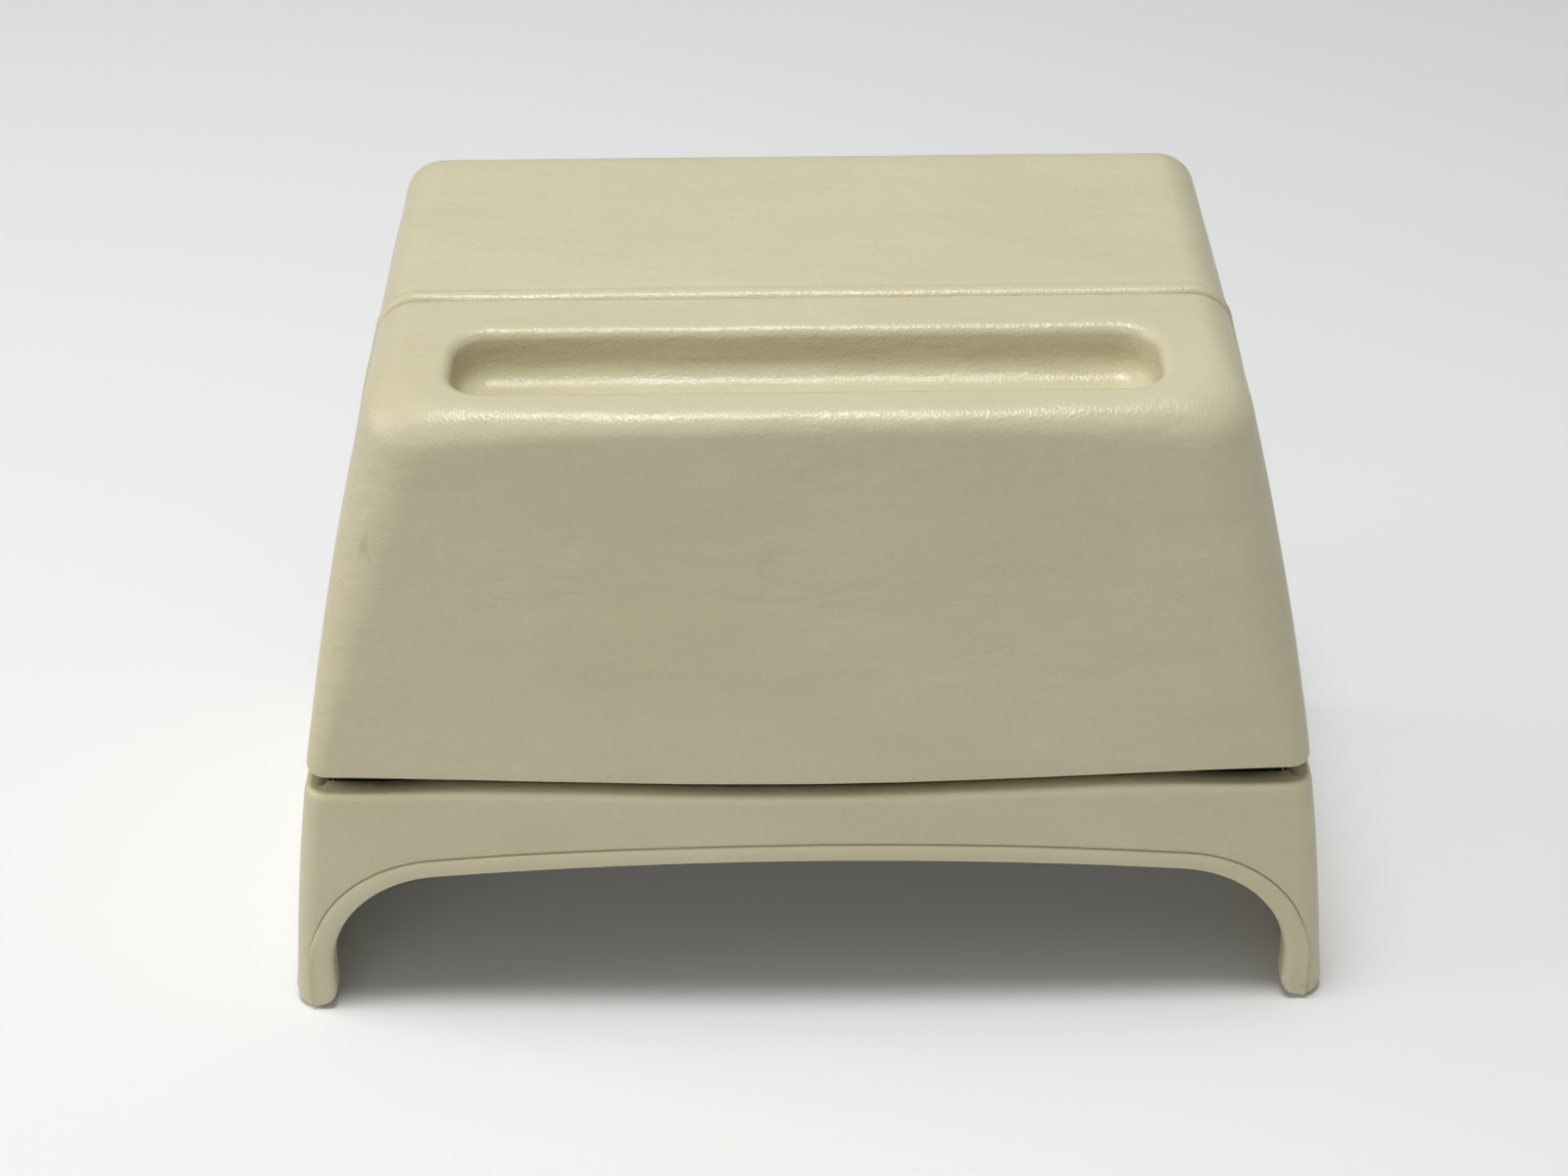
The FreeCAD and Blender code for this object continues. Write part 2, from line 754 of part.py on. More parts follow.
reach = size("mouth_reach")
radius = size("bin_radius")
mouth_spread = root(2 * radius * radius - reach * reach)
mouth_rear = ((reach + mouth_spread) / 2, (reach - mouth_spread) / 2)
mouth_front = ((reach - size("slope_rise")) / 2, (reach + size("slope_rise")) / 2)
drop = size("bin_drop")
nose = size("bin_nose")
cradle_outline = [
    about_pivot(-nose, -drop),
    (*about_pivot(beside(radius, drop), -drop), radius),
    about_pivot(*mouth_rear),
    about_pivot(*mouth_front),
    about_pivot(-nose, size("slope_rise") - nose),
]
cradle_blank = sideways("cradle_blank", cradle_outline, bin_half)
inner_radius = radius - size("bin_wall")
inner_drop = drop - size("bin_wall")
cradle_space_outline = [
    (cradle_front_inside, pivot_z - inner_drop),
    (*about_pivot(beside(inner_radius, inner_drop), -inner_drop), inner_radius),
    about_pivot(beside(inner_radius, mouth_rear[1]), mouth_rear[1]),
    (pivot_y + beside(inner_radius, mouth_rear[1]), top),
    (cradle_front_inside, top),
]
cradle_space = sideways("cradle_space", cradle_space_outline, bin_inside)
cradle_nose = block(
    "cradle_nose",
    (-bin_inside, pivot_y - nose - CLEAR, pivot_z - drop - CLEAR),
    (bin_inside, cradle_front, top),
)


def slot_point(distance, degrees):
    return (pivot_y + distance * cosine(degrees), pivot_z + distance * sine(degrees))


slot_half = size("rivet_radius") + size("stop_play")
slot_outer = size("stop_radius") + slot_half
slot_inner = size("stop_radius") - slot_half
slot_top = size("stop_angle")
slot_foot = size("stop_angle") - size("tilt_range")
# A ring, kept between the slot's two ends, with a round hole at each end.
slot_ring = cut(
    "slot_ring",
    rod("slot_ring_disc", "X", (-bin_half - 1, pivot_y, pivot_z), 2 * bin_half + 2, slot_outer),
    rod("slot_ring_core", "X", (-bin_half - 2, pivot_y, pivot_z), 2 * bin_half + 4, slot_inner),
)
slot_far = slot_outer * DIAGONAL
wedge_outline = [(pivot_y, pivot_z), slot_point(slot_far, slot_foot), slot_point(slot_far, slot_top)]
slot_sector = common("slot_sector", slot_ring, sideways("slot_wedge", wedge_outline, bin_half + 1))
slot_ends = [
    rod(name, "X", (-bin_half - 1, *slot_point(size("stop_radius"), angle)), 2 * bin_half + 2, slot_half)
    for name, angle in (("slot_end_top", slot_top), ("slot_end_foot", slot_foot))
]
arc_slots = fuse("arc_slots", slot_sector, *slot_ends)
head_reliefs = [
    rod(
        side + "_head_relief",
        "X",
        (sign * (pin_start + bin_inside) / 2 - size("pin_head_height"), pivot_y, pivot_z),
        2 * size("pin_head_height"),
        size("pin_head_radius") + size("stop_play"),
    )
    for side, sign in SIDES
]
pin_bore = rod("pin_bore", "X", (-bin_half - 1, pivot_y, pivot_z), 2 * bin_half + 2, size("pin_radius"))

clip_rivet_y = pivot_y + size("pan_clip_set") + 5
clip_seat = (0, clip_rivet_y, pivot_z - drop)
clip_grip = size("bin_wall") + size("spring_sheet")
clip_rivet_head = rod(
    "clip_rivet_head",
    "Z",
    moved(clip_seat, "Z", -size("rivet_head_height")),
    size("rivet_head_height"),
    size("rivet_head_radius"),
)
clip_rivet_shank = rod("clip_rivet_shank", "Z", clip_seat, clip_grip, size("rivet_radius"))
subpart("pan_clip_rivet", fuse("clip_rivet", clip_rivet_head, clip_rivet_shank))
subpart(
    "bin_cradle",
    cut(
        "cradle_drilled",
        cradle_blank,
        cradle_space,
        cradle_nose,
        arc_slots,
        pin_bore,
        clip_rivet_shank,
        *head_reliefs,
        *cradle_holes,
    ),
)

# ---- ash pan, snuffer bar and pan clip ---------------------------------------------------------

pan_half = bin_inside - size("pan_side_play")
sheet_metal = size("pan_sheet")
pan_slope = size("slope_rise") - 1
pan_rear = beside(inner_radius, size("pan_drop")) - size("pan_rear_play")


def pan_outline(inset, mouth):
    """The pan's side view, its walls pulled in by inset, cut off at the mouth plane."""
    slope = pan_slope - inset * DIAGONAL
    front_wall = size("pan_front_set") + inset
    rear_wall = pan_rear - inset
    return [
        about_pivot(front_wall, inset - size("pan_drop")),
        about_pivot(rear_wall, inset - size("pan_drop")),
        about_pivot(rear_wall, mouth - rear_wall),
        about_pivot((mouth - slope) / 2, (mouth + slope) / 2),
        about_pivot(front_wall, front_wall + slope),
    ]


pan_blank = sideways("pan_blank", pan_outline(sized(0), reach), pan_half)
pan_space = sideways("pan_space", pan_outline(sheet_metal, reach + CLEAR), pan_half - sheet_metal)
rim_front = (reach - pan_slope) / 2 - size("pan_side_play")
rim_rear = mouth_rear[0] - size("pan_rear_play") - size("pan_side_play")
rim_step = sheet_metal / DIAGONAL
rim_outline = [
    about_pivot(rim_front, reach - rim_front),
    about_pivot(rim_rear, reach - rim_rear),
    about_pivot(rim_rear + rim_step, reach - rim_rear + rim_step),
    about_pivot(rim_front + rim_step, reach - rim_front + rim_step),
]
rim = sideways("rim", rim_outline, pan_half + size("rim_overlap"))
subpart("ash_pan", cut("ash_pan_open", fuse("pan_rimmed", pan_blank, rim), pan_space))

bar_top = reach - size("pan_side_play")
bar_front = (bar_top - pan_slope) / 2 + sheet_metal
bar_rear = bar_front + size("bar_depth")
bar_outline = [
    about_pivot(bar_front, bar_top - bar_front - 2 * rim_step),
    about_pivot(bar_rear, bar_top - bar_rear - 2 * rim_step),
    about_pivot(bar_rear + rim_step, bar_top - bar_rear - rim_step),
    about_pivot(bar_front + rim_step, bar_top - bar_front - rim_step),
]
notch = size("rest_notch_radius")
bar_blank = sideways("bar_blank", bar_outline, pan_half - sheet_metal)
bar_notches = [
    rod(
        f"bar_notch_{number}",
        "Z",
        (offset * size("rest_notch_spread"), pivot_y + bar_rear + notch / 4, pivot_z),
        top - pivot_z,
        notch,
    )
    for number, offset in enumerate((-1, 0, 1), start=1)
]
subpart("snuffer_bar", cut("snuffer_bar_notched", bar_blank, *bar_notches))

leaf = size("spring_sheet")
clip_crest = size("pan_drop") + size("pan_clip_play")
clip_line = [
    (size("pan_clip_set"), inner_drop),
    (size("pan_clip_set") + 9, inner_drop),
    (size("pan_clip_set") + 12, clip_crest + leaf),
    (size("pan_clip_set") + 16, clip_crest + leaf),
    (size("pan_clip_set") + 19, inner_drop),
    (size("pan_clip_set") + 21, inner_drop),
]
clip_underside = [about_pivot(behind, -below) for behind, below in clip_line]
clip_topside = [about_pivot(behind, leaf - below) for behind, below in reversed(clip_line)]
pan_clip_blank = sideways("pan_clip_blank", clip_underside + clip_topside, size("spring_width") / 2)
subpart("pan_clip", cut("pan_clip_drilled", pan_clip_blank, clip_rivet_shank))

# ---- bin housing -------------------------------------------------------------------------------

ear = size("ear_radius")
ear_edge = ear / DIAGONAL
plate_outline = [
    about_pivot(-ear_edge, -ear_edge),
    about_pivot(size("housing_floor_drop") - 2 * ear_edge, -size("housing_floor_drop")),
    (housing_end, housing_floor),
    (housing_end, housing_top),
    (seam - size("stop_play"), housing_top),
    about_pivot(size("shoulder_set"), size("shoulder_height")),
    about_pivot(-ear_edge, size("cheek_height")),
]
plates = sideways("housing_plates", plate_outline, housing_outside)
ears = rod("housing_ears", "X", (-housing_outside, pivot_y, pivot_z), 2 * housing_outside, ear)
plates_between = block(
    "plates_between",
    (-housing_inside, apex, housing_floor - CLEAR),
    (housing_inside, back, top),
)
side_plates = cut("side_plates", fuse("plates_eared", plates, ears), plates_between)
housing_room = outer_form("housing_room", shell + size("housing_fit"), sized(0))
floor_block = block(
    "floor_block",
    (-half_foot, apex, housing_floor - size("housing_wall")),
    (half_foot, housing_end, housing_floor),
)
floor_slab = common("floor_slab", floor_block, housing_room)
rear_wall = block(
    "rear_wall",
    (-housing_outside, housing_rear, housing_floor - size("housing_wall")),
    (housing_outside, housing_back, housing_top),
)
top_flange = block(
    "top_flange",
    (-housing_outside, housing_rear, housing_top - size("housing_wall")),
    (housing_outside, housing_end, housing_top),
)
floor_posts = [
    rod(
        side + "_floor_post",
        "Z",
        (sign * ledge_x, ledge_y, ledge_high),
        size("post_height") + ROOTED,
        boss,
    )
    for side, sign in SIDES
]
bush_start = (-housing_outside, pivot_y, pivot_z)
bush_bore = rod("bush_bore", "X", bush_start, 2 * housing_outside, size("bush_radius"))
stop_start = (-housing_outside, stop_y, stop_z)
stop_bore = rod("stop_bore", "X", stop_start, 2 * housing_outside, size("rivet_radius"))

# mounting brackets and their rivets
bracket_low = size("bracket_base")
bracket_high = bracket_low + size("bracket_height")
bracket_out = housing_outside + size("bracket_reach")
bracket_mid = (bracket_low + bracket_high) / 2
hole_x = housing_outside + size("bracket_sheet") + (size("bracket_reach") - size("bracket_sheet")) / 2
rivet_y = (housing_back + housing_end) / 2
hole_levels = (bracket_mid - size("bracket_hole_pitch") / 2, bracket_mid + size("bracket_hole_pitch") / 2)
bracket_leg = block(
    "bracket_leg",
    (housing_outside, housing_back, bracket_low),
    (housing_outside + size("bracket_sheet"), back, bracket_high),
)
bracket_plate = block(
    "bracket_plate",
    (housing_outside, back - size("bracket_sheet"), bracket_low),
    (bracket_out, back, bracket_high),
)
bracket_holes = []
bracket_rivets = []
rivet_holes = []
for number, level in enumerate(hole_levels, start=1):
    hole_start = (hole_x, back - size("bracket_sheet"), level)
    bore = size("bracket_hole_radius")
    bracket_hole = rod(f"bracket_hole_{number}", "Y", hole_start, size("bracket_sheet"), bore)
    bracket_holes.append(bracket_hole)
    grip = size("housing_wall") + size("bracket_sheet")
    made, hole = rivet(f"bracket_rivet_{number}", "X", (housing_inside, rivet_y, level), grip)
    bracket_rivets.append(made)
    rivet_holes.append(hole)
bracket_blank = fuse("bracket_blank", bracket_leg, bracket_plate)
right_bracket = cut("right_bracket_drilled", bracket_blank, *bracket_holes, *rivet_holes)
subpart("right_mounting_bracket", right_bracket)
subpart("left_mounting_bracket", mirrored("left_bracket", right_bracket))
left_rivets = [mirrored(f"left_bracket_rivet_{n}", made) for n, made in enumerate(bracket_rivets, start=1)]
subpart("bracket_rivets", group("bracket_rivet_set", bracket_rivets + left_rivets))
left_rivet_holes = [mirrored(f"left_rivet_hole_{n}", hole) for n, hole in enumerate(rivet_holes, start=1)]

# drag spring on the housing's rear wall, its crest just clear of the cradle
crest = size("bin_radius") + size("spring_play")
spring_foot = housing_rear - leaf
tail_y = pivot_y + crest + size("spring_tail") / 5
spring_outline = [
    (housing_rear, pivot_z + size("spring_rise")),
    (housing_rear, pivot_z + size("spring_bend") + leaf),
    (pivot_y + crest + leaf, pivot_z),
    (tail_y + leaf, pivot_z - size("spring_tail")),
    (tail_y, pivot_z - size("spring_tail")),
    (pivot_y + crest, pivot_z),
    (spring_foot, pivot_z + size("spring_bend")),
    (spring_foot, pivot_z + size("spring_rise")),
]
spring_blank = sideways("drag_spring_blank", spring_outline, size("spring_width") / 2)
spring_rivets = []
spring_holes = []
for side, sign in SIDES:
    rivet_level = pivot_z + (size("spring_rise") + size("spring_bend")) / 2
    start = (sign * size("spring_width") / 4, spring_foot, rivet_level)
    made, hole = rivet(side + "_spring_rivet", "Y", start, leaf + size("housing_wall"))
    spring_rivets.append(made)
    spring_holes.append(hole)
subpart("drag_spring", cut("drag_spring_drilled", spring_blank, *spring_holes))
subpart("drag_spring_rivets", group("spring_rivet_pair", spring_rivets))

subpart(
    "bin_housing",
    cut(
        "housing_drilled",
        fuse("housing_blank", side_plates, floor_slab, rear_wall, top_flange, *floor_posts),
        bush_bore,
        stop_bore,
        *cap_holes,
        *ledge_holes,
        *rivet_holes,
        *left_rivet_holes,
        *spring_holes,
    ),
)
subpart("housing_top_screws", group("cap_screw_pair", cap_screws))
subpart("housing_floor_screws", group("ledge_screw_pair", ledge_screws))

# rubber buffers that the cradle rests on when shut
buffer_height = pivot_z - drop - size("buffer_play") - housing_floor
buffer_y = pivot_y + size("buffer_set")
buffers = [
    rod(
        side + "_buffer",
        "Z",
        (sign * size("buffer_spread"), buffer_y, housing_floor),
        buffer_height,
        size("buffer_radius"),
    )
    for side, sign in SIDES
]
subpart("rest_buffers", group("buffer_pair", buffers))

# ---- checks and files --------------------------------------------------------------------------

doc.recompute()
faults = [f"{thing.Name}: {thing.State}" for thing in doc.Objects if {"Invalid", "Error"} & set(thing.State)]
for name, thing in SUBPARTS.items():
    if thing.Shape.isNull() or not thing.Shape.isValid() or not thing.Shape.Solids:
        faults.append(f"{name}: no valid solid")
if faults:
    raise RuntimeError("; ".join(faults))

os.makedirs("parts", exist_ok=True)
for name, thing in SUBPARTS.items():
    thing.Shape.exportStep(f"parts/{name}.step")
    print(f"{name}: {len(thing.Shape.Solids)} solids, {thing.Shape.Volume:.0f} mm3")
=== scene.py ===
# %% [markdown]
# # A console end piece with a tilt-out ash bin
#
# The object is the rear end of a car's centre console. Its moulded surround straddles the tunnel on two feet, and its
# front tips forward about two low pins, carrying a bin with a steel ash pan. Everything that shows at rest is soft
# cream vinyl over a moulding, so most of the work goes into a few skins with good edges.

import json
import math

import bmesh
import bpy
import numpy as np
from mathutils import Matrix, Vector, noise
from mathutils.bvhtree import BVHTree


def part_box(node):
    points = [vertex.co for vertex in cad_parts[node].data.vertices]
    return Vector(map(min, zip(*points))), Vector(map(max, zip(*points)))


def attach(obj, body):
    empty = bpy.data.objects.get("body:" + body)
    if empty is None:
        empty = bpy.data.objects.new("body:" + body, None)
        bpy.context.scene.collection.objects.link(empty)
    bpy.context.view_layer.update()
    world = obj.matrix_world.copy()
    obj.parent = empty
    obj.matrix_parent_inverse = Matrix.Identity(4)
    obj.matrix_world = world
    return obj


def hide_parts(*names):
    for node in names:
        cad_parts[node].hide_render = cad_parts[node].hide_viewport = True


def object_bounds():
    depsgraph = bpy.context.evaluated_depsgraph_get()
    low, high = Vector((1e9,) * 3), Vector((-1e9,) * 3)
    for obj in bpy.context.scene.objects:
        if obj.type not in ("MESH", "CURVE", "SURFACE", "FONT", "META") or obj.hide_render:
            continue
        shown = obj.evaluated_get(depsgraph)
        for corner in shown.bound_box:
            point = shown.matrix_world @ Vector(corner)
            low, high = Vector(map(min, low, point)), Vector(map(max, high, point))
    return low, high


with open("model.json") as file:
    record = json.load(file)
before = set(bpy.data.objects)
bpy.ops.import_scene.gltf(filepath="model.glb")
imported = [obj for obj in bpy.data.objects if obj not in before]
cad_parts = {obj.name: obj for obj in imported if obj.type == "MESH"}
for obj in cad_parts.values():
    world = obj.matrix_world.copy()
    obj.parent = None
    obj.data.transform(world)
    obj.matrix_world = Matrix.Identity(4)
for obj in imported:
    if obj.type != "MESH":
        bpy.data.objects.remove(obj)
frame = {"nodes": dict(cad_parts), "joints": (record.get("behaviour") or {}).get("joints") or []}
cad_low, cad_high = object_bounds()
print("CAD box, mm:", [round(v * 1000, 2) for v in (*cad_low, *cad_high)])

# %% [markdown]
# ## Camera
#
# The piece stands on its feet and the camera looks down at the front from a little above. A long lens, close to a
# portrait lens, keeps the sides nearly parallel. The three angles are set in a small matrix, because a tilt, a slight
# yaw and a slight roll are easier to keep apart there than in Euler angles.

# %% Camera
MM = 0.001
TILT = math.radians(35.05)
YAW = math.radians(0.175)
SIDE_TILT = math.radians(-0.523)
CAMERA_PLACE = (-0.0041, -0.34305, 0.2900)
LONG_LENS = 65.8

camera_data = bpy.data.cameras.new("camera")
camera_data.sensor_width = 36
camera_data.lens = LONG_LENS
camera = bpy.data.objects.new("camera", camera_data)
bpy.context.scene.collection.objects.link(camera)
bpy.context.scene.camera = camera

forward = Vector((math.sin(YAW) * math.cos(TILT), math.cos(YAW) * math.cos(TILT), -math.sin(TILT)))
level = Vector((math.cos(YAW), -math.sin(YAW), 0))
upward = level.cross(forward)
right = math.cos(SIDE_TILT) * level + math.sin(SIDE_TILT) * upward
up = -math.sin(SIDE_TILT) * level + math.cos(SIDE_TILT) * upward
turn = Matrix((right, up, -forward)).transposed().to_4x4()
camera.matrix_world = Matrix.Translation(CAMERA_PLACE) @ turn
print("camera at", [round(v, 4) for v in camera.location])

# %% [markdown]
# ## Floor and light
#
# A plain pale floor that curves up behind, a soft light overhead and two weak warm ones, in front and on the left.
# The overhead light stands a little forward of the piece. So it makes the top the brightest face, draws crisp
# highlights along the rounded edges, and skims the front, where it shows the wrinkles.

# %% Floor and light
def stage_floor():
    bend, depth, width, front_end, wall_top = 0.5, 1.1, 3.0, -2.0, 3.0
    profile = [(front_end, 0.0), (depth, 0.0)]
    profile += [(depth + bend * math.sin(a), bend - bend * math.cos(a)) for a in np.linspace(0.1, math.pi / 2, 14)]
    profile += [(depth + bend, wall_top)]
    mesh = bpy.data.meshes.new("floor")
    points = [(side * width, y, z) for y, z in profile for side in (-1, 1)]
    faces = [(2 * i, 2 * i + 1, 2 * i + 3, 2 * i + 2) for i in range(len(profile) - 1)]
    mesh.from_pydata(points, [], faces)
    mesh.shade_smooth()
    floor = bpy.data.objects.new("floor", mesh)
    bpy.context.scene.collection.objects.link(floor)
    paint = bpy.data.materials.new("pale_floor")
    paint.use_nodes = True
    shader = paint.node_tree.nodes["Principled BSDF"]
    shader.inputs["Base Color"].default_value = (0.86, 0.86, 0.85, 1)
    shader.inputs["Roughness"].default_value = 0.9
    mesh.materials.append(paint)
    return floor


def soft_light(name, place, aim, size, power, colour=(1, 1, 1)):
    data = bpy.data.lights.new(name, "AREA")
    data.shape = "RECTANGLE"
    data.size, data.size_y = size
    data.energy = power
    data.color = colour
    lamp = bpy.data.objects.new(name, data)
    bpy.context.scene.collection.objects.link(lamp)
    lamp.location = place
    lamp.rotation_mode = "QUATERNION"
    lamp.rotation_quaternion = (Vector(aim) - Vector(place)).to_track_quat("-Z", "Y")
    return lamp


stage_floor()
FLOOR_SPOT = (0, 0, 0.05)
SKY, SKY_POWER, WARM = (0.95, 0.96, 0.98, 1), 0.26, (1.0, 0.98, 0.93)
soft_light("overhead", (-0.05, -0.10, 0.85), FLOOR_SPOT, (0.30, 0.20), 4.75, (0.97, 0.985, 1.0))
soft_light("front_fill", (-0.42, -1.0, 0.45), FLOOR_SPOT, (0.8, 0.6), 1.05, WARM)
soft_light("left_fill", (-0.9, 0.0, 0.5), FLOOR_SPOT, (0.6, 0.5), 2.85, (1.0, 0.98, 0.94))
world = bpy.data.worlds.new("studio")
world.use_nodes = True
sky = world.node_tree.nodes["Background"].inputs
sky["Color"].default_value, sky["Strength"].default_value = SKY, SKY_POWER
bpy.context.scene.world = world
bpy.context.scene.view_settings.view_transform = "Standard"

# %% [markdown]
# ## The form that the skins follow
#
# The skins share one outer form: sides that lean in along a large circle from the feet, rounded top corners, and a
# front that is crowned a little. The places come from the CAD nodes, so the skins fit the mouldings under them.

# %% The outer form
half_foot = cad_high.x
top = cad_high.z
back = cad_high.y
apex = cad_low.y
FRONT_CROWN = 1.7 * MM
crown_radius = (half_foot**2 + FRONT_CROWN**2) / (2 * FRONT_CROWN)

TOP_CORNER = 6.0 * MM
CORNER_X = 51.9 * MM
SIDE_RADIUS = 581.0 * MM
corner_z = top - TOP_CORNER


def side_centre():
    """The centre of the sides' circle: it touches the top corner's circle and comes down to the foot."""
    apart = SIDE_RADIUS - TOP_CORNER
    across = half_foot - CORNER_X
    span = math.hypot(across, corner_z)
    along = (apart**2 - SIDE_RADIUS**2 + span**2) / (2 * span)
    aside = math.sqrt(apart**2 - along**2)
    from_corner = ((across * along - corner_z * aside) / span, (corner_z * along + across * aside) / span)
    return (CORNER_X + from_corner[0], corner_z - from_corner[1])


centre_x, centre_z = side_centre()
lean = math.atan2(corner_z - centre_z, CORNER_X - centre_x)
shoulder_z = corner_z + TOP_CORNER * math.sin(lean)


def half_width(z):
    """The form's half width at a height."""
    if z > shoulder_z:
        return CORNER_X + math.sqrt(max(TOP_CORNER**2 - (z - corner_z) ** 2, 0))
    return centre_x + math.sqrt(SIDE_RADIUS**2 - (z - centre_z) ** 2)


def fixed_half_width(z):
    """The fixed skin stands a little proud of the moving one beside the seam."""
    return half_width(z) + 0.3 * MM * ease(z, 42 * MM, 52 * MM) * (1 - ease(z, 86 * MM, 95 * MM))


def crown(x):
    """The front's place along Y at a distance from the middle."""
    return apex + crown_radius - math.sqrt(crown_radius**2 - x**2)


def ease(value, start, end):
    """0 before start, 1 after end, smooth between."""
    t = min(max((value - start) / (end - start), 0), 1)
    return t * t * (3 - 2 * t)


print("half width at the feet and shoulders, mm:", [round(half_width(z) / MM, 2) for z in (0, shoulder_z)])

# %% [markdown]
# ## Skins with rolled edges
#
# Vinyl skin over a moulding has no raw edge: it turns round each border and is tucked in. A skin here is first laid
# as grids of points, whose shared borders are merged, and then one helper carries every open border round a quarter
# circle and inwards. A Solidify modifier gives the skin its thickness, inwards, so the outer size stays.

# %% Grids, borders and walls
class Skin:
    """Grids of points that become one mesh."""

    def __init__(self):
        self.points = []
        self.faces = []

    def grid(self, rows, closed=False):
        start = len(self.points)
        count = len(rows[0])
        for row in rows:
            assert len(row) == count
            self.points += [tuple(p) for p in row]
        for i in range(len(rows) - 1):
            for j in range(count if closed else count - 1):
                a = start + i * count + j
                b = start + i * count + (j + 1) % count
                self.faces.append((a, b, b + count, a + count))
        return self

    def mesh(self, name, gap=0.02 * MM):
        work = bmesh.new()
        made = [work.verts.new(p) for p in self.points]
        for face in self.faces:
            work.faces.new([made[i] for i in face])
        bmesh.ops.remove_doubles(work, verts=work.verts, dist=gap)
        bmesh.ops.dissolve_degenerate(work, edges=work.edges, dist=gap / 4)
        bmesh.ops.recalc_face_normals(work, faces=work.faces)
        return work


def face_outwards(work, centre):
    """Turns a mesh over if most of its faces look towards a point inside it."""
    score = sum(f.normal.dot(f.calc_center_median() - centre) * f.calc_area() for f in work.faces)
    if score < 0:
        bmesh.ops.reverse_faces(work, faces=work.faces)


def roll_border(work, radius_at, depth_at, steps=4):
    """Carries every open border round a quarter circle, and then inwards."""
    work.normal_update()
    ring = [(e.link_loops[0].vert, e.link_loops[0].link_loop_next.vert) for e in work.edges if e.is_boundary]
    sides = {}
    for edge in [e for e in work.edges if e.is_boundary]:
        face = edge.link_faces[0]
        side = (edge.verts[1].co - edge.verts[0].co).cross(face.normal).normalized()
        if side.dot(edge.verts[0].co - face.calc_center_median()) < 0:
            side = -side
        for v in edge.verts:
            sides.setdefault(v, []).append(side)
    plan = {}
    for v, (a, b) in sides.items():
        plan[v] = (v.co.copy(), (a + b) / (1 + a.dot(b)), v.normal.copy(), radius_at(v.co), depth_at(v.co))
    current = {v: v for v in plan}
    for step in range(1, steps + 3):
        angle = min(step / steps, 1) * math.pi / 2
        inward = {steps + 1: 0.25, steps + 2: 1.0}.get(step, 0)
        fresh = {}
        for v, (place, outward, normal, radius, depth) in plan.items():
            drop = radius * (1 - math.cos(angle)) + inward * depth
            fresh[v] = work.verts.new(place + outward * radius * math.sin(angle) - normal * drop)
        for start, end in ring:
            work.faces.new((current[end], current[start], fresh[start], fresh[end]))
        current = fresh
    work.normal_update()


def ripple(work, height, seed):
    """Faint waves in the skin, as soft vinyl has over its padding."""
    work.normal_update()
    shift = Vector((seed, 0, 0))
    for v in work.verts:
        broad = noise.noise(v.co * 38 + shift)
        fine = noise.noise(v.co * 130 + shift)
        v.co += v.normal * height * (broad + 0.35 * fine)


def add_piece(name, work=None):
    """An object at the origin, with the mesh that was worked on, or an empty one."""
    mesh = bpy.data.meshes.new(name)
    if work:
        work.to_mesh(mesh)
        work.free()
    piece = bpy.data.objects.new(name, mesh)
    bpy.context.scene.collection.objects.link(piece)
    return piece


def settle(piece, body, slot, *nodes):
    """The piece rides on its body and stands for its CAD nodes; the slot is not used."""
    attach(piece, body)
    if nodes:
        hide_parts(*nodes)
    print(piece.name, len(piece.data.polygons), "faces")
    return piece


def finish_piece(work, name, body, replaces, slot, wall=None):
    """A plain mesh that rides on its body and stands for its CAD node."""
    piece = add_piece(name, work)
    if wall:
        solid = piece.modifiers.new("wall", "SOLIDIFY")
        solid.thickness = wall
        solid.offset = -1
        solid.use_even_offset = True
        apply_modifiers(piece)
    piece.data.shade_smooth()
    return settle(piece, body, slot, replaces)


def apply_modifiers(piece):
    ready = bpy.context.evaluated_depsgraph_get()
    mesh = bpy.data.meshes.new_from_object(piece.evaluated_get(ready))
    piece.modifiers.clear()
    piece.data = mesh


# %% [markdown]
# ## The tilting front
#
# The front is one skin: two cheeks, the crowned face between them, and the top with its finger groove. Level slices
# suit it best, because each slice is the same U and only its width and its corner radius change with height. The
# edges are sharp near the gap and soft at the top, as leather-look vinyl pulls round a corner. The top is a ring of
# points between that U and the groove's outline.

# %% Places of the front
joint = frame["joints"][0]
pivot_y, pivot_z = joint["pos_m"][1], joint["pos_m"][2]
front_low, front_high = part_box("front_skin")
seam = front_high.y
low_edge = front_low.z
seam_radius = seam - pivot_y

SKIN = 0.9 * MM
ROLL = 1.0 * MM
TUCK = 2.2 * MM
RIPPLE = 0.07 * MM
HOLLOW, HOLLOW_Z, HOLLOW_SPREAD = 0.5 * MM, 84 * MM, 14 * MM


def seam_behind(z, radius):
    """The seam's place along Y: straight above the hinge line, and round it below."""
    drop = max(pivot_z - z, 0)
    return pivot_y + math.sqrt(radius**2 - drop**2)


def edge_radius(z):
    """The upright front edges: soft at the top, tighter towards the gap."""
    return (3.2 + 6.0 * ease(z, 34 * MM, 98 * MM)) * MM


def brow_radius(x):
    """The edge between the front and the top, softer towards its ends."""
    return (2.9 + 3.2 * (abs(x) / CORNER_X) ** 3) * MM


def face_place(x, z):
    """The front face, with its rounding into the top."""
    radius = brow_radius(min(abs(x), CORNER_X))
    rise = max(z - (top - radius), 0)
    hollow = HOLLOW * math.exp(-(((z - HOLLOW_Z) / HOLLOW_SPREAD) ** 2)) * (1 - ease(abs(x), 25 * MM, 55 * MM))
    return crown(x) + radius - math.sqrt(max(radius**2 - rise**2, 0)) + hollow


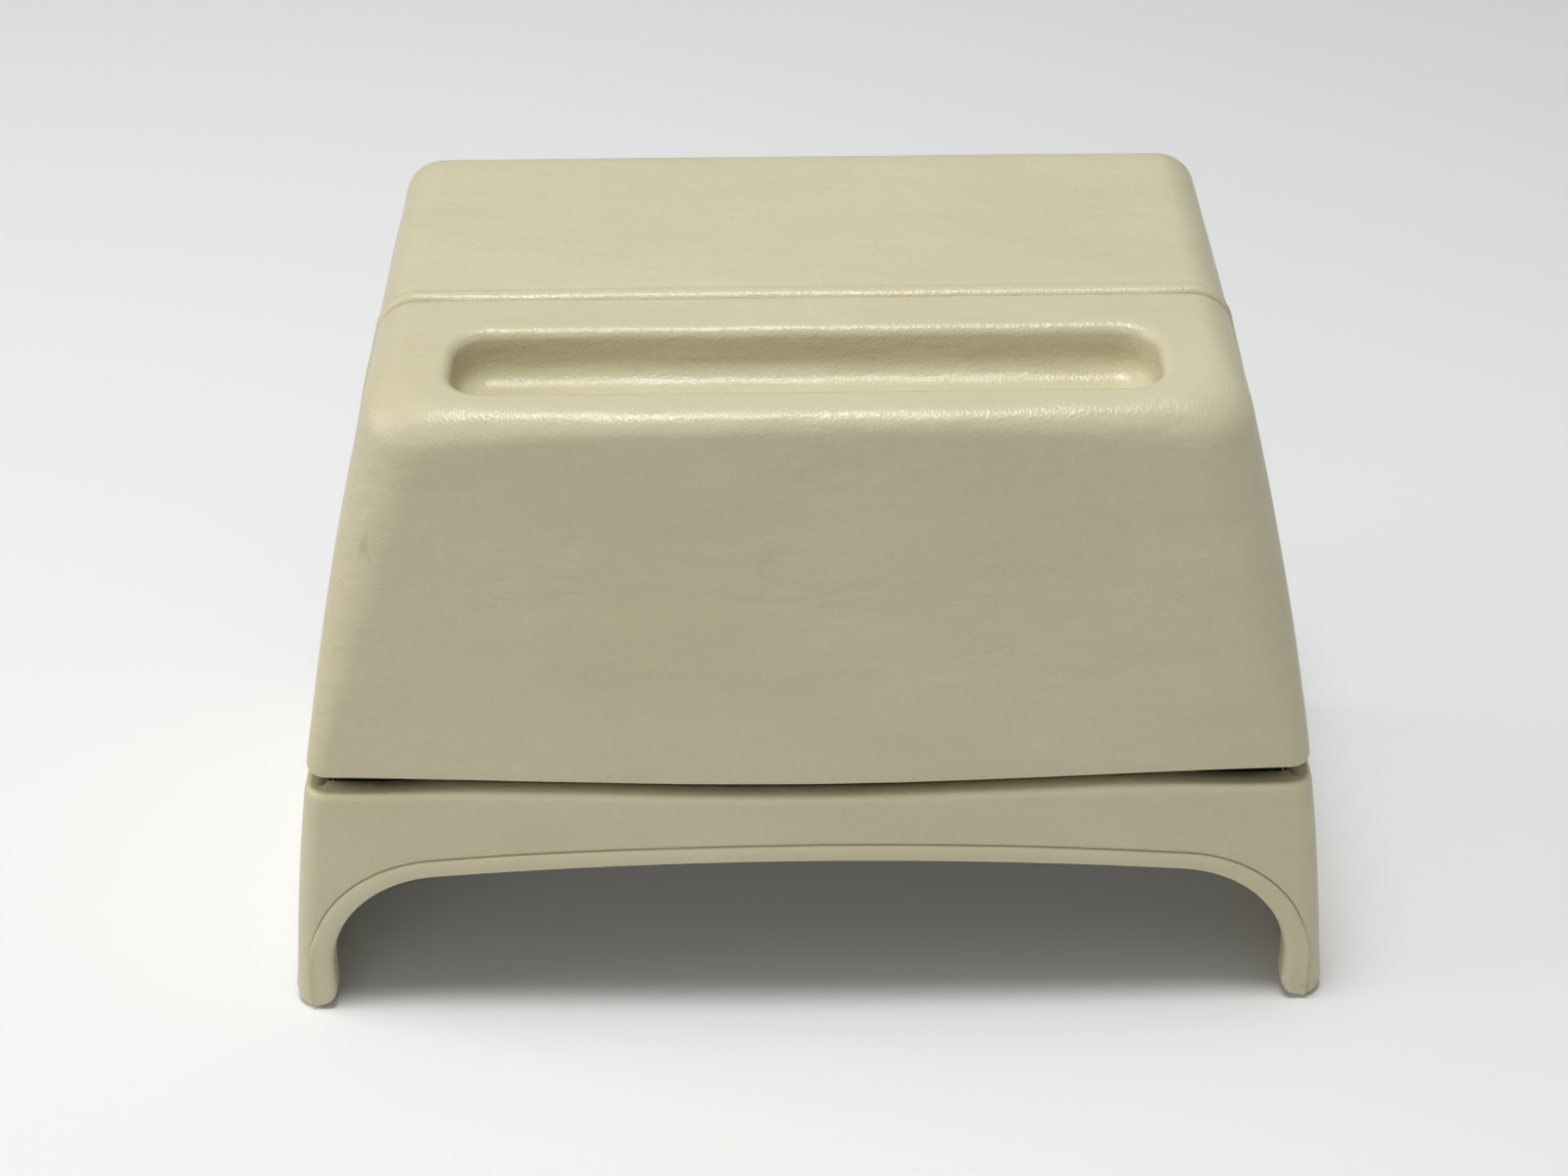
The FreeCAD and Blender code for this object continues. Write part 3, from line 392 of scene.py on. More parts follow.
def slice_point(t, z, rear):
    """A point on the U-shaped slice at a height: |t| to 1 is the face, to 2 the corner, to 3 the cheek."""
    side = math.copysign(1, t)
    t = abs(t)
    width = half_width(z)
    radius = edge_radius(z)
    tip = math.asin((width - radius) / crown_radius)
    meet_x = width - radius * (1 - math.sin(tip))
    if t <= 1:
        x = t * meet_x
        return (side * x, face_place(x, z), z)
    hub = (meet_x - radius * math.sin(tip), face_place(meet_x, z) + radius * math.cos(tip))
    if t <= 2:
        angle = tip + (t - 1) * (math.pi / 2 - tip)
        return (side * (hub[0] + radius * math.sin(angle)), hub[1] - radius * math.cos(angle), z)
    return (side * width, hub[1] + (t - 2) * (rear - hub[1]), z)


print("seam radius, mm:", round(seam_radius / MM, 3))

# %% The front's skin
GROOVE_LEFT, GROOVE_NEAR, GROOVE_FAR = -46.0 * MM, -29.15 * MM, -14.15 * MM
GROOVE_CORNER, GROOVE_FLOOR, GROOVE_DEPTH, GROOVE_LIP = 5.0 * MM, 3.0 * MM, 7.5 * MM, 1.5 * MM
SEAM_END = 6 * MM


def u_stations():
    parts = [np.linspace(2, 3, 16), np.linspace(1, 2, 12), np.linspace(0, 1, 36)]
    half = sorted({round(float(v), 6) for part in parts for v in part})
    return [-v for v in reversed(half) if v > 0] + half


def groove_station(t):
    """The groove's outline and its outward normal, at the same stations as the U, and on past 3 along the seam."""
    side = math.copysign(1, t)
    t = abs(t)
    hub_x = -GROOVE_LEFT - GROOVE_CORNER
    near, far = GROOVE_NEAR + GROOVE_CORNER, GROOVE_FAR - GROOVE_CORNER
    if t <= 1:
        return (side * t * hub_x, GROOVE_NEAR), (0, -1)
    if t <= 2:
        angle = (t - 1) * math.pi / 2
        normal = (side * math.sin(angle), -math.cos(angle))
        return (side * hub_x + GROOVE_CORNER * normal[0], near + GROOVE_CORNER * normal[1]), normal
    if t <= 2.5:
        return (side * -GROOVE_LEFT, near + (t - 2) * 2 * (far - near)), (side, 0)
    if t <= 3.5:
        angle = (t - 2.5) * math.pi / 2
        normal = (side * math.cos(angle), math.sin(angle))
        return (side * hub_x + GROOVE_CORNER * normal[0], far + GROOVE_CORNER * normal[1]), normal
    return (side * (4.5 - t) * hub_x, GROOVE_FAR), (0, 1)


def seam_reach(t):
    """How far along the seam a station lies from the top's corner."""
    return min((t - 3) / 0.5, 1) * SEAM_END + max(t - 3.5, 0) * (CORNER_X - SEAM_END)


def low_bow(x, z):
    """The front's lower edge hangs a little lower in the middle than at its ends."""
    return (ease(abs(x), 0, 62 * MM) - 0.5) * MM * (1 - ease(z, low_edge, low_edge + 14 * MM))


def front_skin():
    skin = Skin()
    stations = u_stations()
    lowest = low_edge + ROLL
    highest = shoulder_z
    levels = list(np.linspace(lowest, highest, 40))
    levels += [corner_z + TOP_CORNER * math.sin(a) for a in np.linspace(lean, math.pi / 2, 15)[1:]]
    rows = [[slice_point(t, z, seam_behind(z, seam_radius - ROLL)) for t in stations] for z in levels]
    rows = [[(x, y, z + low_bow(x, z)) for x, y, z in row] for row in rows]
    skin.grid(rows)
    rim = rows[-1]
    seam_y = rim[-1][1]
    along_seam = np.concatenate([np.linspace(3, 3.5, 8)[1:], 4.5 - np.linspace(1, 0, 36)[1:]])
    ring = list(zip(stations, rim))
    ring += [(t, (CORNER_X - seam_reach(t), seam_y, top)) for t in along_seam]
    ring += [(-t, (seam_reach(t) - CORNER_X, seam_y, top)) for t in along_seam[::-1][1:]]
    outline = [groove_station(t) for t, _ in ring]
    rows = []
    for share in np.linspace(0, 1, 9):
        row = []
        for (_, outer), (spot, normal) in zip(ring, outline):
            lip = (spot[0] + normal[0] * GROOVE_LIP, spot[1] + normal[1] * GROOVE_LIP)
            row.append((outer[0] + share * (lip[0] - outer[0]), outer[1] + share * (lip[1] - outer[1]), top))
        rows.append(row)

    def groove_row(out, z):
        return [(spot[0] + normal[0] * out, spot[1] + normal[1] * out, z) for spot, normal in outline]

    for angle in np.linspace(0, math.pi / 2, 6)[1:]:
        rows.append(groove_row(GROOVE_LIP * (1 - math.sin(angle)), top - GROOVE_LIP * (1 - math.cos(angle))))
    floor = top - GROOVE_DEPTH
    rows.append(groove_row(0, (floor + GROOVE_FLOOR + top - GROOVE_LIP) / 2))
    for angle in np.linspace(0, math.pi / 2, 8):
        rows.append(groove_row(-GROOVE_FLOOR * (1 - math.cos(angle)), floor + GROOVE_FLOOR * (1 - math.sin(angle))))
    middle = (GROOVE_NEAR + GROOVE_FAR) / 2
    reach = -GROOVE_LEFT - (GROOVE_FAR - GROOVE_NEAR) / 2
    last = rows[-1]
    for share in (0.35, 0.7, 1.0):
        row = []
        for x, y, z in last:
            aim = min(max(x, -reach), reach)
            row.append((x + share * (aim - x), y + share * (middle - y), z))
        rows.append(row)
    skin.grid(rows, closed=True)
    work = skin.mesh("front")
    face_outwards(work, Vector((0, 0, 60 * MM)))
    ripple(work, RIPPLE, 3.0)
    roll_border(work, lambda p: ROLL, lambda p: TUCK)
    return work


front_work = front_skin()
front_outside = BVHTree.FromBMesh(front_work)
soft_front = finish_piece(front_work, "soft_front", "tilting_bin", "front_skin", "cream_vinyl", wall=SKIN)

# %% [markdown]
# ## The surround
#
# The fixed skin is a tunnel from foot to foot behind the seam, and a band below the gap that the arch cuts through.
# The tunnel is a sheet along the outline. The band's points run from the gap and the legs to the arch, in the same
# slices as the front, so that the two faces line up across the gap.

# %% Places of the arch
ARCH_RISE, ARCH_HALF, ARCH_CORNER, ARCH_BOW = 28.0 * MM, 68.6 * MM, 18.0 * MM, 486.0 * MM
TRIM = 3.3 * MM
arch_hub_x = ARCH_HALF - ARCH_CORNER
bow_z = ARCH_RISE - ARCH_BOW
arch_hub_z = bow_z + math.sqrt((ARCH_BOW - ARCH_CORNER) ** 2 - arch_hub_x**2)
print("arch corner centre, mm:", round(arch_hub_x / MM, 2), round(arch_hub_z / MM, 2))


def arch_path(grow, start_z, steps):
    """Half of the arch, from its right foot to the middle, grown outwards: points and outward normals."""
    turn_end = math.atan2(arch_hub_z - bow_z, arch_hub_x)
    leg = arch_hub_z - start_z
    arc = (ARCH_CORNER + grow) * turn_end
    bow = (ARCH_BOW + grow) * (math.pi / 2 - turn_end)
    whole = leg + arc + bow
    made = []
    for share in steps:
        run = share * whole
        if run <= leg:
            made.append(((ARCH_HALF + grow, start_z + run), (1, 0)))
        elif run <= leg + arc:
            a = (run - leg) / (ARCH_CORNER + grow)
            n = (math.cos(a), math.sin(a))
            made.append(((arch_hub_x + (ARCH_CORNER + grow) * n[0], arch_hub_z + (ARCH_CORNER + grow) * n[1]), n))
        else:
            a = turn_end + (run - leg - arc) / (ARCH_BOW + grow)
            n = (math.cos(a), math.sin(a))
            made.append((((ARCH_BOW + grow) * n[0], bow_z + (ARCH_BOW + grow) * n[1]), n))
    return made


LEG_START, LEG_MIDDLE = 60 * MM, 72.2 * MM
TOE_HEIGHT, TOE_LIFT, TOE_INWARD, TOE_OUTWARD = 9 * MM, 3.4 * MM, 3.7 * MM, 3.0 * MM


def round_feet(point):
    """The legs end in rounded tips at the front: the low corners are lifted, most at the tip's two sides."""
    x, y, z = point
    across = abs(x) - LEG_MIDDLE
    share = min(abs(across) / (TOE_INWARD if across < 0 else TOE_OUTWARD), 0.97)
    lift = TOE_LIFT * (1 - math.sqrt(1 - share**2)) * (1 - ease(y, -32 * MM, -20 * MM))
    if z >= TOE_HEIGHT or abs(x) < LEG_START:
        return (x, y, z)
    return (x, y, lift + z * (TOE_HEIGHT - lift) / TOE_HEIGHT)


# %% The surround's skin
sill = 40.5 * MM
fixed_radius = seam_radius + 0.4 * MM
ARCH_ROLL = 0.5 * MM
FOOT_ROLL = 1.2 * MM
SILL_ROLL = 1.4 * MM


def slice_station(x, z):
    """The station on a slice that has this x, on the face or the corner."""
    width, radius = half_width(z), edge_radius(z)
    tip = math.asin((width - radius) / crown_radius)
    meet_x = width - radius * (1 - math.sin(tip))
    if x <= meet_x:
        return x / meet_x
    hub_x = meet_x - radius * math.sin(tip)
    angle = math.asin(min((x - hub_x) / radius, 1))
    return 1 + (angle - tip) / (math.pi / 2 - tip)


def seam_bead(run):
    """The roll along the seam's far side: how far it stands above the skin, at a distance behind the seam."""
    run = run / MM
    return (0.34 * math.exp(-(((run - 1.0) / 0.62) ** 2)) - 0.14 * math.exp(-(((run - 2.5) / 0.7) ** 2))) * MM


def sill_bow(x, z):
    """The panel under the gap dips in the middle of its top edge."""
    x = abs(x)
    bow = -0.55 + 1.05 * ease(x, 0, 45 * MM) - 0.5 * ease(x, 50 * MM, 64 * MM)
    return bow * MM * ease(z, 31 * MM, sill)


def surround_skin():
    skin = Skin()
    gap_z = sill - SILL_ROLL
    foot_z = FOOT_ROLL
    foot_edge = foot_z + 0.3 * MM
    join_y = pivot_y + math.sqrt((fixed_radius + ROLL) ** 2 - (pivot_z - gap_z) ** 2)
    low_levels = list(np.linspace(foot_z, gap_z, 26))
    high_levels = list(np.linspace(gap_z, shoulder_z, 40))[1:]
    half = [(fixed_half_width(z), z) for z in low_levels + high_levels]
    half += [(CORNER_X + TOP_CORNER * math.cos(a), corner_z + TOP_CORNER * math.sin(a))
             for a in np.linspace(lean, math.pi / 2, 12)[1:]]
    half += [(CORNER_X * (1 - s), top) for s in np.linspace(0, 1, 26)[1:]]
    outline = [(-x, z) for x, z in half[:-1]] + half[::-1]

    def first_y(z):
        return join_y if z <= gap_z else seam_behind(z, fixed_radius + ROLL)

    near = [0, 0.2, 0.4, 0.6, 0.8, 1.0, 1.25, 1.5, 1.8, 2.2, 2.7, 3.3, 4.0, 5.0]
    shares = np.linspace(0, 1, 20)[1:]
    last_y = back - ROLL

    def tunnel_row(step, share):
        row = []
        for x, z in outline:
            y = first_y(z) + step * MM
            y += share * (last_y - y)
            lift = seam_bead(y - first_y(z) + ROLL) * ease(z, 70 * MM, top)
            tilt = ease(z, shoulder_z, top)
            row.append((x + math.copysign(lift * (1 - tilt), x), y, z + lift * tilt))
        return row

    skin.grid([tunnel_row(step, 0) for step in near] + [tunnel_row(near[-1], share) for share in shares])

    right_outer = [(3, z) for z in low_levels]
    for start, count in ((3, 14), (2, 9), (1, 40)):
        right_outer += [(t, gap_z) for t in np.linspace(start, start - 1, count)[1:]]
    marks = np.cumsum([0, len(low_levels) - 1, 13, 8, 39])
    steps = np.interp(range(len(right_outer)), marks, [0, 0.34, 0.42, 0.46, 1])
    inner = [(slice_station(x, z), z) for (x, z), _ in arch_path(TRIM + ARCH_ROLL, foot_z, steps)]
    inner[-1] = (0, inner[-1][1])
    outer = right_outer + [(-t, z) for t, z in right_outer[::-1][1:]]
    inner = inner + [(-t, z) for t, z in inner[::-1][1:]]
    rows = []
    for share in np.linspace(0, 1, 40):
        row = []
        for (t0, z0), (t1, z1) in zip(outer, inner):
            x, y, z = slice_point(t0 + share * (t1 - t0), z0 + share * (z1 - z0), join_y)
            row.append((x, y, z + sill_bow(x, z)))
        rows.append(row)
    skin.grid(rows)
    work = skin.mesh("surround")
    face_outwards(work, Vector((0, 0, 30 * MM)))

    def on_arch(p):
        return p.y < -20 * MM and p.z < gap_z - 2 * MM and p.z > foot_edge

    def on_edge(p):
        return p.z < foot_edge or p.y > last_y - 0.3 * MM

    def roll_at(p):
        if on_arch(p):
            return ARCH_ROLL
        if p.z < foot_edge:
            return FOOT_ROLL
        return SILL_ROLL + (ROLL - SILL_ROLL) * ease(abs(p.x), 44 * MM, 58 * MM)

    ripple(work, RIPPLE, 7.0)
    roll_border(work, roll_at, lambda p: 1.2 * MM if on_arch(p) else 0.1 * MM if on_edge(p) else TUCK)
    for v in work.verts:
        v.co = round_feet((v.co.x, min(v.co.y, back), max(v.co.z, 0)))
    return work


surround_work = surround_skin()
surround_outside = BVHTree.FromBMesh(surround_work)
soft_surround = finish_piece(surround_work, "soft_surround", "surround", "surround_skin", "cream_vinyl", wall=SKIN)


# %% The arch's edge bead
def arch_bead():
    steps = list(np.linspace(0, 1, 90))
    half = arch_path(0, 1.4 * MM, steps)
    path = [((-x, z), (-n[0], n[1])) for (x, z), n in half[:-1]] + half[::-1]
    back_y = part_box("arch_edge_trim")[1].y
    section = [(3.3, 0.45), (3.22, 0.16), (2.9, -0.02), (2.3, -0.14), (1.5, -0.18), (0.9, -0.12), (0.42, 0.08),
               (0.12, 0.5), (0.0, 1.1)]
    tail = [(0.0, 0.45), (0.1, 0.9), (0.5, 1.0), (2.8, 1.0), (3.2, 0.9), (3.3, 0.45)]
    rows = []

    def ring(spot, normal, drop, shrink):
        (x, z) = spot
        made = []
        face = crown(abs(x))
        merge = 1 - ease(z, 6 * MM, 15 * MM)
        points = [((e + 0.5 * merge * ease(e, 2, 3.2)) * MM, face + (d - 0.45 * merge * ease(e, 2.8, 3.3)) * MM)
                  for e, d in section]
        start = points[-1][1]
        points += [(e * MM, start + share * (back_y - start)) for e, share in tail]
        mid_e, mid_y = 1.65 * MM, (face + back_y) / 2
        for e, y in points:
            e, y = mid_e + shrink * (e - mid_e), mid_y + shrink * (y - mid_y)
            made.append(round_feet((x + normal[0] * e, y, z + normal[1] * e - drop)))
        return made

    caps = [(1.4 * math.sin(a) * MM, 1 - 0.55 * (1 - math.cos(a))) for a in np.linspace(0, math.pi / 2, 6)]
    for drop, shrink in caps[::-1][:-1]:
        rows.append(ring(*path[0], drop, shrink))
    for spot, normal in path:
        rows.append(ring(spot, normal, 0, 1))
    for drop, shrink in caps[1:]:
        rows.append(ring(*path[-1], drop, shrink))
    skin = Skin().grid(rows, closed=True)
    count = len(rows[0])
    work = bmesh.new()
    made = [work.verts.new(p) for p in skin.points]
    for face in skin.faces:
        work.faces.new([made[i] for i in face])
    for end in (made[:count], made[-count:]):
        work.faces.new(end)
    bmesh.ops.recalc_face_normals(work, faces=work.faces)
    return work


arch_edge = finish_piece(arch_bead(), "arch_bead", "surround", "arch_edge_trim", "cream_trim")

# %% [markdown]
# ## Finishes
#
# Every finish is worked out from the object's own coordinates, in metres, so a grain of 0.4 mm is a noise of scale
# 2500. One small class holds the node tree and gives short names to the few nodes that all the finishes share.

# %% A helper for finishes
class Finish:
    """A Principled material that is built up from patterns on object coordinates."""

    def __init__(self, name, roughness, metallic=0.0, specular=0.5):
        self.paint = bpy.data.materials.new(name)
        self.paint.use_nodes = True
        self.tree = self.paint.node_tree
        self.shader = self.tree.nodes["Principled BSDF"]
        self.shader.inputs["Roughness"].default_value = roughness
        self.shader.inputs["Metallic"].default_value = metallic
        self.shader.inputs["Specular IOR Level"].default_value = specular
        self.place = self.tree.nodes.new("ShaderNodeTexCoord").outputs["Object"]

    def node(self, kind, **values):
        made = self.tree.nodes.new(kind)
        for name, value in values.items():
            setattr(made, name, value)
        return made

    def link(self, source, socket):
        self.tree.links.new(source, socket)

    def stretched(self, scale, centre=(0, 0, 0)):
        """Object coordinates, moved so that centre is the origin and then scaled."""
        mapping = self.node("ShaderNodeMapping")
        mapping.inputs["Scale"].default_value = scale
        mapping.inputs["Location"].default_value = [-c * s for c, s in zip(centre, scale)]
        self.link(self.place, mapping.inputs["Vector"])
        return mapping.outputs["Vector"]

    def noise(self, scale, detail=2.0, source=None, rough=0.5):
        made = self.node("ShaderNodeTexNoise")
        made.inputs["Scale"].default_value = scale
        made.inputs["Detail"].default_value = detail
        made.inputs["Roughness"].default_value = rough
        self.link(source or self.place, made.inputs["Vector"])
        return made.outputs["Fac"]

    def cells(self, scale, feature="F1", source=None):
        made = self.node("ShaderNodeTexVoronoi", feature=feature)
        made.inputs["Scale"].default_value = scale
        self.link(source or self.place, made.inputs["Vector"])
        return made.outputs["Distance"]

    def spot(self, centre, size):
        """1 at a place on the piece, 0 outside an ellipsoid of that size round it."""
        ball = self.node("ShaderNodeVectorMath", operation="LENGTH")
        self.link(self.stretched([1 / s for s in size], centre), ball.inputs[0])
        return self.ramp(ball.outputs["Value"], 1.0, 0.0)

    def ramp(self, source, low, high, out_low=0.0, out_high=1.0):
        made = self.node("ShaderNodeMapRange", interpolation_type="SMOOTHSTEP")
        if low > high:
            low, high, out_low, out_high = high, low, out_high, out_low
        for name, value in zip(("From Min", "From Max", "To Min", "To Max"), (low, high, out_low, out_high)):
            made.inputs[name].default_value = value
        self.link(source, made.inputs["Value"])
        return made.outputs["Result"]

    def maths(self, operation, first, second):
        made = self.node("ShaderNodeMath", operation=operation)
        for socket, value in zip(made.inputs, (first, second)):
            if isinstance(value, (int, float)):
                socket.default_value = value
            else:
                self.link(value, socket)
        return made.outputs["Value"]

    def blend(self, share, first, second):
        """Mixes two colours; each is three numbers or another blend."""
        made = self.node("ShaderNodeMix", data_type="RGBA")
        self.link(share, made.inputs["Factor"])
        for socket, value in zip((made.inputs[6], made.inputs[7]), (first, second)):
            if isinstance(value, tuple):
                socket.default_value = (*value, 1)
            else:
                self.link(value, socket)
        return made.outputs[2]

    def colour(self, source):
        if isinstance(source, tuple):
            self.shader.inputs["Base Color"].default_value = (*source, 1)
        else:
            self.link(source, self.shader.inputs["Base Color"])
        return self

    def roughness(self, source):
        self.link(source, self.shader.inputs["Roughness"])
        return self

    def relief(self, *layers):
        """Bumps one over another; each is a pattern and its depth in metres."""
        last = None
        for pattern, depth in layers:
            bump = self.node("ShaderNodeBump")
            bump.inputs["Strength"].default_value = 1.0
            bump.inputs["Distance"].default_value = depth
            self.link(pattern, bump.inputs["Height"])
            if last:
                self.link(last, bump.inputs["Normal"])
            last = bump.outputs["Normal"]
        self.link(last, self.shader.inputs["Normal"])
        return self

    def put(self, piece):
        piece.data.materials.clear()
        piece.data.materials.append(self.paint)


# %% [markdown]
# ### Cream vinyl
#
# The skin is leather-look vinyl: a very fine grain, faint long wrinkles and a satin gloss that varies a little. With
# age it has yellowed along one edge and has a few specks and some scuffs. The wrinkles and the grain are bumps, none
# over 0.6 mm, and the sharper creases are kept to the front face. Its colour also carries painted shade: darker where
# the wrinkles dip and along the creases on the front face. The broad waves are in the mesh.

# %% Cream vinyl
CREAM = (0.60, 0.552, 0.378)


def cream_finish(name, grain=1.0):
    made = Finish(name, 0.34)
    cloudy = made.ramp(made.noise(28, 3), 0.35, 0.7)
    mottled = made.ramp(made.noise(420, 4), 0.3, 0.75)
    tone = made.blend(cloudy, CREAM, (0.575, 0.520, 0.338))
    tone = made.blend(made.maths("MULTIPLY", mottled, 0.35), tone, (0.56, 0.505, 0.33))
    speck = made.maths("MULTIPLY", made.ramp(made.cells(150), 0.045, 0.02), made.ramp(made.noise(70, 1), 0.6, 0.68))
    tone = made.blend(made.maths("MULTIPLY", speck, 0.55), tone, (0.27, 0.23, 0.15))
    aged = made.spot((-half_foot, -30 * MM, 80 * MM), (22 * MM, 14 * MM, 70 * MM))
    tone = made.blend(made.maths("MULTIPLY", aged, 0.6), tone, (0.62, 0.49, 0.26))
    streaks = made.ramp(made.noise(900, 3, made.stretched((1, 1, 0.35))), 0.5, 0.62)
    scuff = made.maths("MULTIPLY", made.spot((-57.5 * MM, -36 * MM, 81 * MM), (2.2 * MM, 9 * MM, 3.4 * MM)), streaks)
    scratch = made.maths("MULTIPLY", made.spot((-36 * MM, -36 * MM, 89 * MM), (0.5 * MM, 9 * MM, 2.2 * MM)), streaks)
    foot = made.maths("MULTIPLY", made.spot((71 * MM, -35 * MM, 1 * MM), (6 * MM, 8 * MM, 5 * MM)), streaks)
    worn = made.maths("MAXIMUM", made.maths("MAXIMUM", scuff, scratch), foot)
    tone = made.blend(made.maths("MULTIPLY", worn, 0.6), tone, (0.42, 0.35, 0.23))
    wrinkle = made.noise(105, 3, made.stretched((0.38, 1.0, 1.2)), 0.55)
    waves = made.noise(70, 3, made.stretched((0.45, 1.0, 1.3)), 0.6)
    lines = made.maths("ABSOLUTE", made.maths("SUBTRACT", waves, 0.5), 0)
    crease = made.maths("MULTIPLY", made.ramp(lines, 0.05, 0.0), made.ramp(made.noise(45, 2), 0.42, 0.6))
    on_face = made.spot((0, -37 * MM, 78 * MM), (62 * MM, 3.5 * MM, 34 * MM))
    # Painted shade: the colour is darkened along the creases on the front face, as shade would fall in them.
    painted_crease_shade = made.maths("MULTIPLY", made.maths("MULTIPLY", crease, on_face), 0.3)
    tone = made.blend(painted_crease_shade, tone, (0.50, 0.445, 0.28))
    # Painted shade: the colour is darkened where the wrinkles dip, as shade would fall there.
    painted_wrinkle_shade = made.ramp(wrinkle, 0.5, 0.36)
    tone = made.blend(made.maths("MULTIPLY", painted_wrinkle_shade, 0.3), tone, (0.55, 0.495, 0.325))
    made.colour(tone)
    made.roughness(made.maths("ADD", made.ramp(made.noise(60, 3), 0.25, 0.75, 0.29, 0.39),
                              made.maths("MULTIPLY", worn, 0.3)))
    made.relief((wrinkle, 0.0006 * grain), (made.maths("MULTIPLY", crease, on_face), -0.00022 * grain),
                (made.noise(620, 2), 0.00005 * grain), (made.cells(2300), 0.00004 * grain),
                (made.noise(4200, 2), 0.00003 * grain))
    return made


vinyl = cream_finish("cream_vinyl")
trim = cream_finish("cream_trim", 0.6)
vinyl.put(soft_front)
vinyl.put(soft_surround)
trim.put(arch_edge)
print("cream finishes on 3 pieces")

# %% [markdown]
# ## Finishes of the works
#
# Behind the skins are moulded plastic and small steel parts. The mouldings have the fine spark texture of their
# mould, the pressed and spring steel is brushed along one direction, the plated steel is faintly cloudy, and the
# rubber is dull. Steel keeps a plain metallic colour, because its look comes from what it reflects.

# %% Mouldings, steel, nylon and rubber
def moulding_finish(name, colour, roughness):
    made = Finish(name, roughness)
    shade = tuple(0.82 * c for c in colour)
    made.colour(made.blend(made.ramp(made.noise(35, 4), 0.35, 0.7), colour, shade))
    made.roughness(made.ramp(made.noise(50, 2), 0.3, 0.7, roughness - 0.06, roughness + 0.08))
    made.relief((made.noise(1500, 3), 0.00006), (made.cells(3200), 0.00003))
    return made


def steel_finish(name, colour, roughness, brush, dull=0.85):
    made = Finish(name, roughness, metallic=1.0)
    lines = made.noise(1, 3, made.stretched(brush))
    cloud = made.ramp(made.noise(90, 4), 0.35, 0.7)
    made.colour(made.blend(cloud, colour, tuple(dull * c for c in colour)))
    made.roughness(made.ramp(lines, 0.25, 0.75, roughness - 0.07, roughness + 0.1))
    made.relief((lines, 0.00002), (made.noise(260, 2), 0.00002))
    return made


def smooth_finish(name, colour, roughness, depth):
    made = Finish(name, roughness)
    made.colour(made.blend(made.ramp(made.noise(120, 3), 0.35, 0.7), colour, tuple(0.85 * c for c in colour)))
    made.relief((made.noise(1100, 3), depth))
    return made


finishes = {
    "cream_moulding": moulding_finish("cream_moulding", (0.50, 0.445, 0.30), 0.55),
    "black_moulding": moulding_finish("black_moulding", (0.022, 0.022, 0.024), 0.5),
    "pressed_steel": steel_finish("pressed_steel", (0.60, 0.60, 0.58), 0.3, (60, 2200, 2200)),
    "spring_steel": steel_finish("spring_steel", (0.30, 0.31, 0.34), 0.27, (2000, 2000, 60), 0.7),
    "bright_steel": steel_finish("bright_steel", (0.66, 0.66, 0.65), 0.22, (1200, 1200, 1200)),
    "plated_steel": steel_finish("plated_steel", (0.62, 0.58, 0.44), 0.33, (90, 1500, 1500), 0.78),
    "nylon": smooth_finish("nylon", (0.72, 0.70, 0.62), 0.4, 0.00002),
    "black_rubber": smooth_finish("black_rubber", (0.018, 0.018, 0.018), 0.75, 0.00006),
}
print(len(finishes), "finishes")

# %% [markdown]
# ## Screws, rivets and pins
#
# One lathe helper turns each fastener's profile into a closed mesh: a pan head with a cross recess, or a domed rivet
# head with its flatter tail. Geometry Nodes then set it on every place of its kind, each turned by its own amount as
# hands leave them. The places are measured on the CAD solids, so a moved boss moves its screw.

# %% Lathe and places
def lathe(profile, count=32):
    """A closed turned shape about Z, from a profile of radius and height whose ends are on the axis."""
    work = bmesh.new()
    rows = []
    for radius, z in profile:
        if radius == 0:
            rows.append([work.verts.new((0, 0, z))])
            continue
        angles = [2 * math.pi * i / count for i in range(count)]
        rows.append([work.verts.new((radius * math.cos(a), radius * math.sin(a), z)) for a in angles])
    for low, high in zip(rows, rows[1:]):
        for i in range(count):
            j = (i + 1) % count
            corners = [low[i % len(low)], low[j % len(low)], high[j % len(high)], high[i % len(high)]]
            work.faces.new(list(dict.fromkeys(corners)))
    bmesh.ops.recalc_face_normals(work, faces=work.faces)
    return work


def dome(radius, height, lift, steps=7):
    """The outer half of a head: from its edge, which is a little rounded, up to the axis."""
    edge = min(0.25 * height, 0.25 * MM)
    points = [(radius - 0.3 * edge, lift), (radius, lift + edge)]
    for a in np.linspace(0.25, math.pi / 2, steps):
        out = radius * math.cos(a) ** 0.9 if a < math.pi / 2 else 0
        points.append((out, lift + edge + (height - edge) * math.sin(a)))
    return points


def islands(node):
    """Every loose solid of a CAD node, as arrays of its points."""
    work = bmesh.new()
    work.from_mesh(frame["nodes"][node].data)
    bmesh.ops.remove_doubles(work, verts=work.verts, dist=0.001 * MM)
    seen, found = set(), []
    for seed in work.verts:
        if seed in seen:
            continue
        seen.add(seed)
        queue, part = [seed], []
        while queue:
            v = queue.pop()
            part.append(tuple(v.co))
            for edge in v.link_edges:
                other = edge.other_vert(v)
                if other not in seen:
                    seen.add(other)
                    queue.append(other)
        found.append(np.array(part))
    work.free()
    return found


def head_places(node, axis):
    """Where each fastener's head seats, which way it faces, and its sizes."""
    made = []
    for part in islands(node):
        low, high = part.min(0), part.max(0)
        centre = (low + high) / 2
        others = [i for i in range(3) if i != axis]
        away = np.linalg.norm(part[:, others] - centre[others], axis=1)
        at_low = away[part[:, axis] < low[axis] + 0.02 * MM].max()
        at_high = away[part[:, axis] > high[axis] - 0.02 * MM].max()
        sign = 1 if at_high >= at_low else -1
        end = high[axis] if sign > 0 else low[axis]
        made.append((centre, sign, end, high[axis] - low[axis], max(at_low, at_high)))
    return made


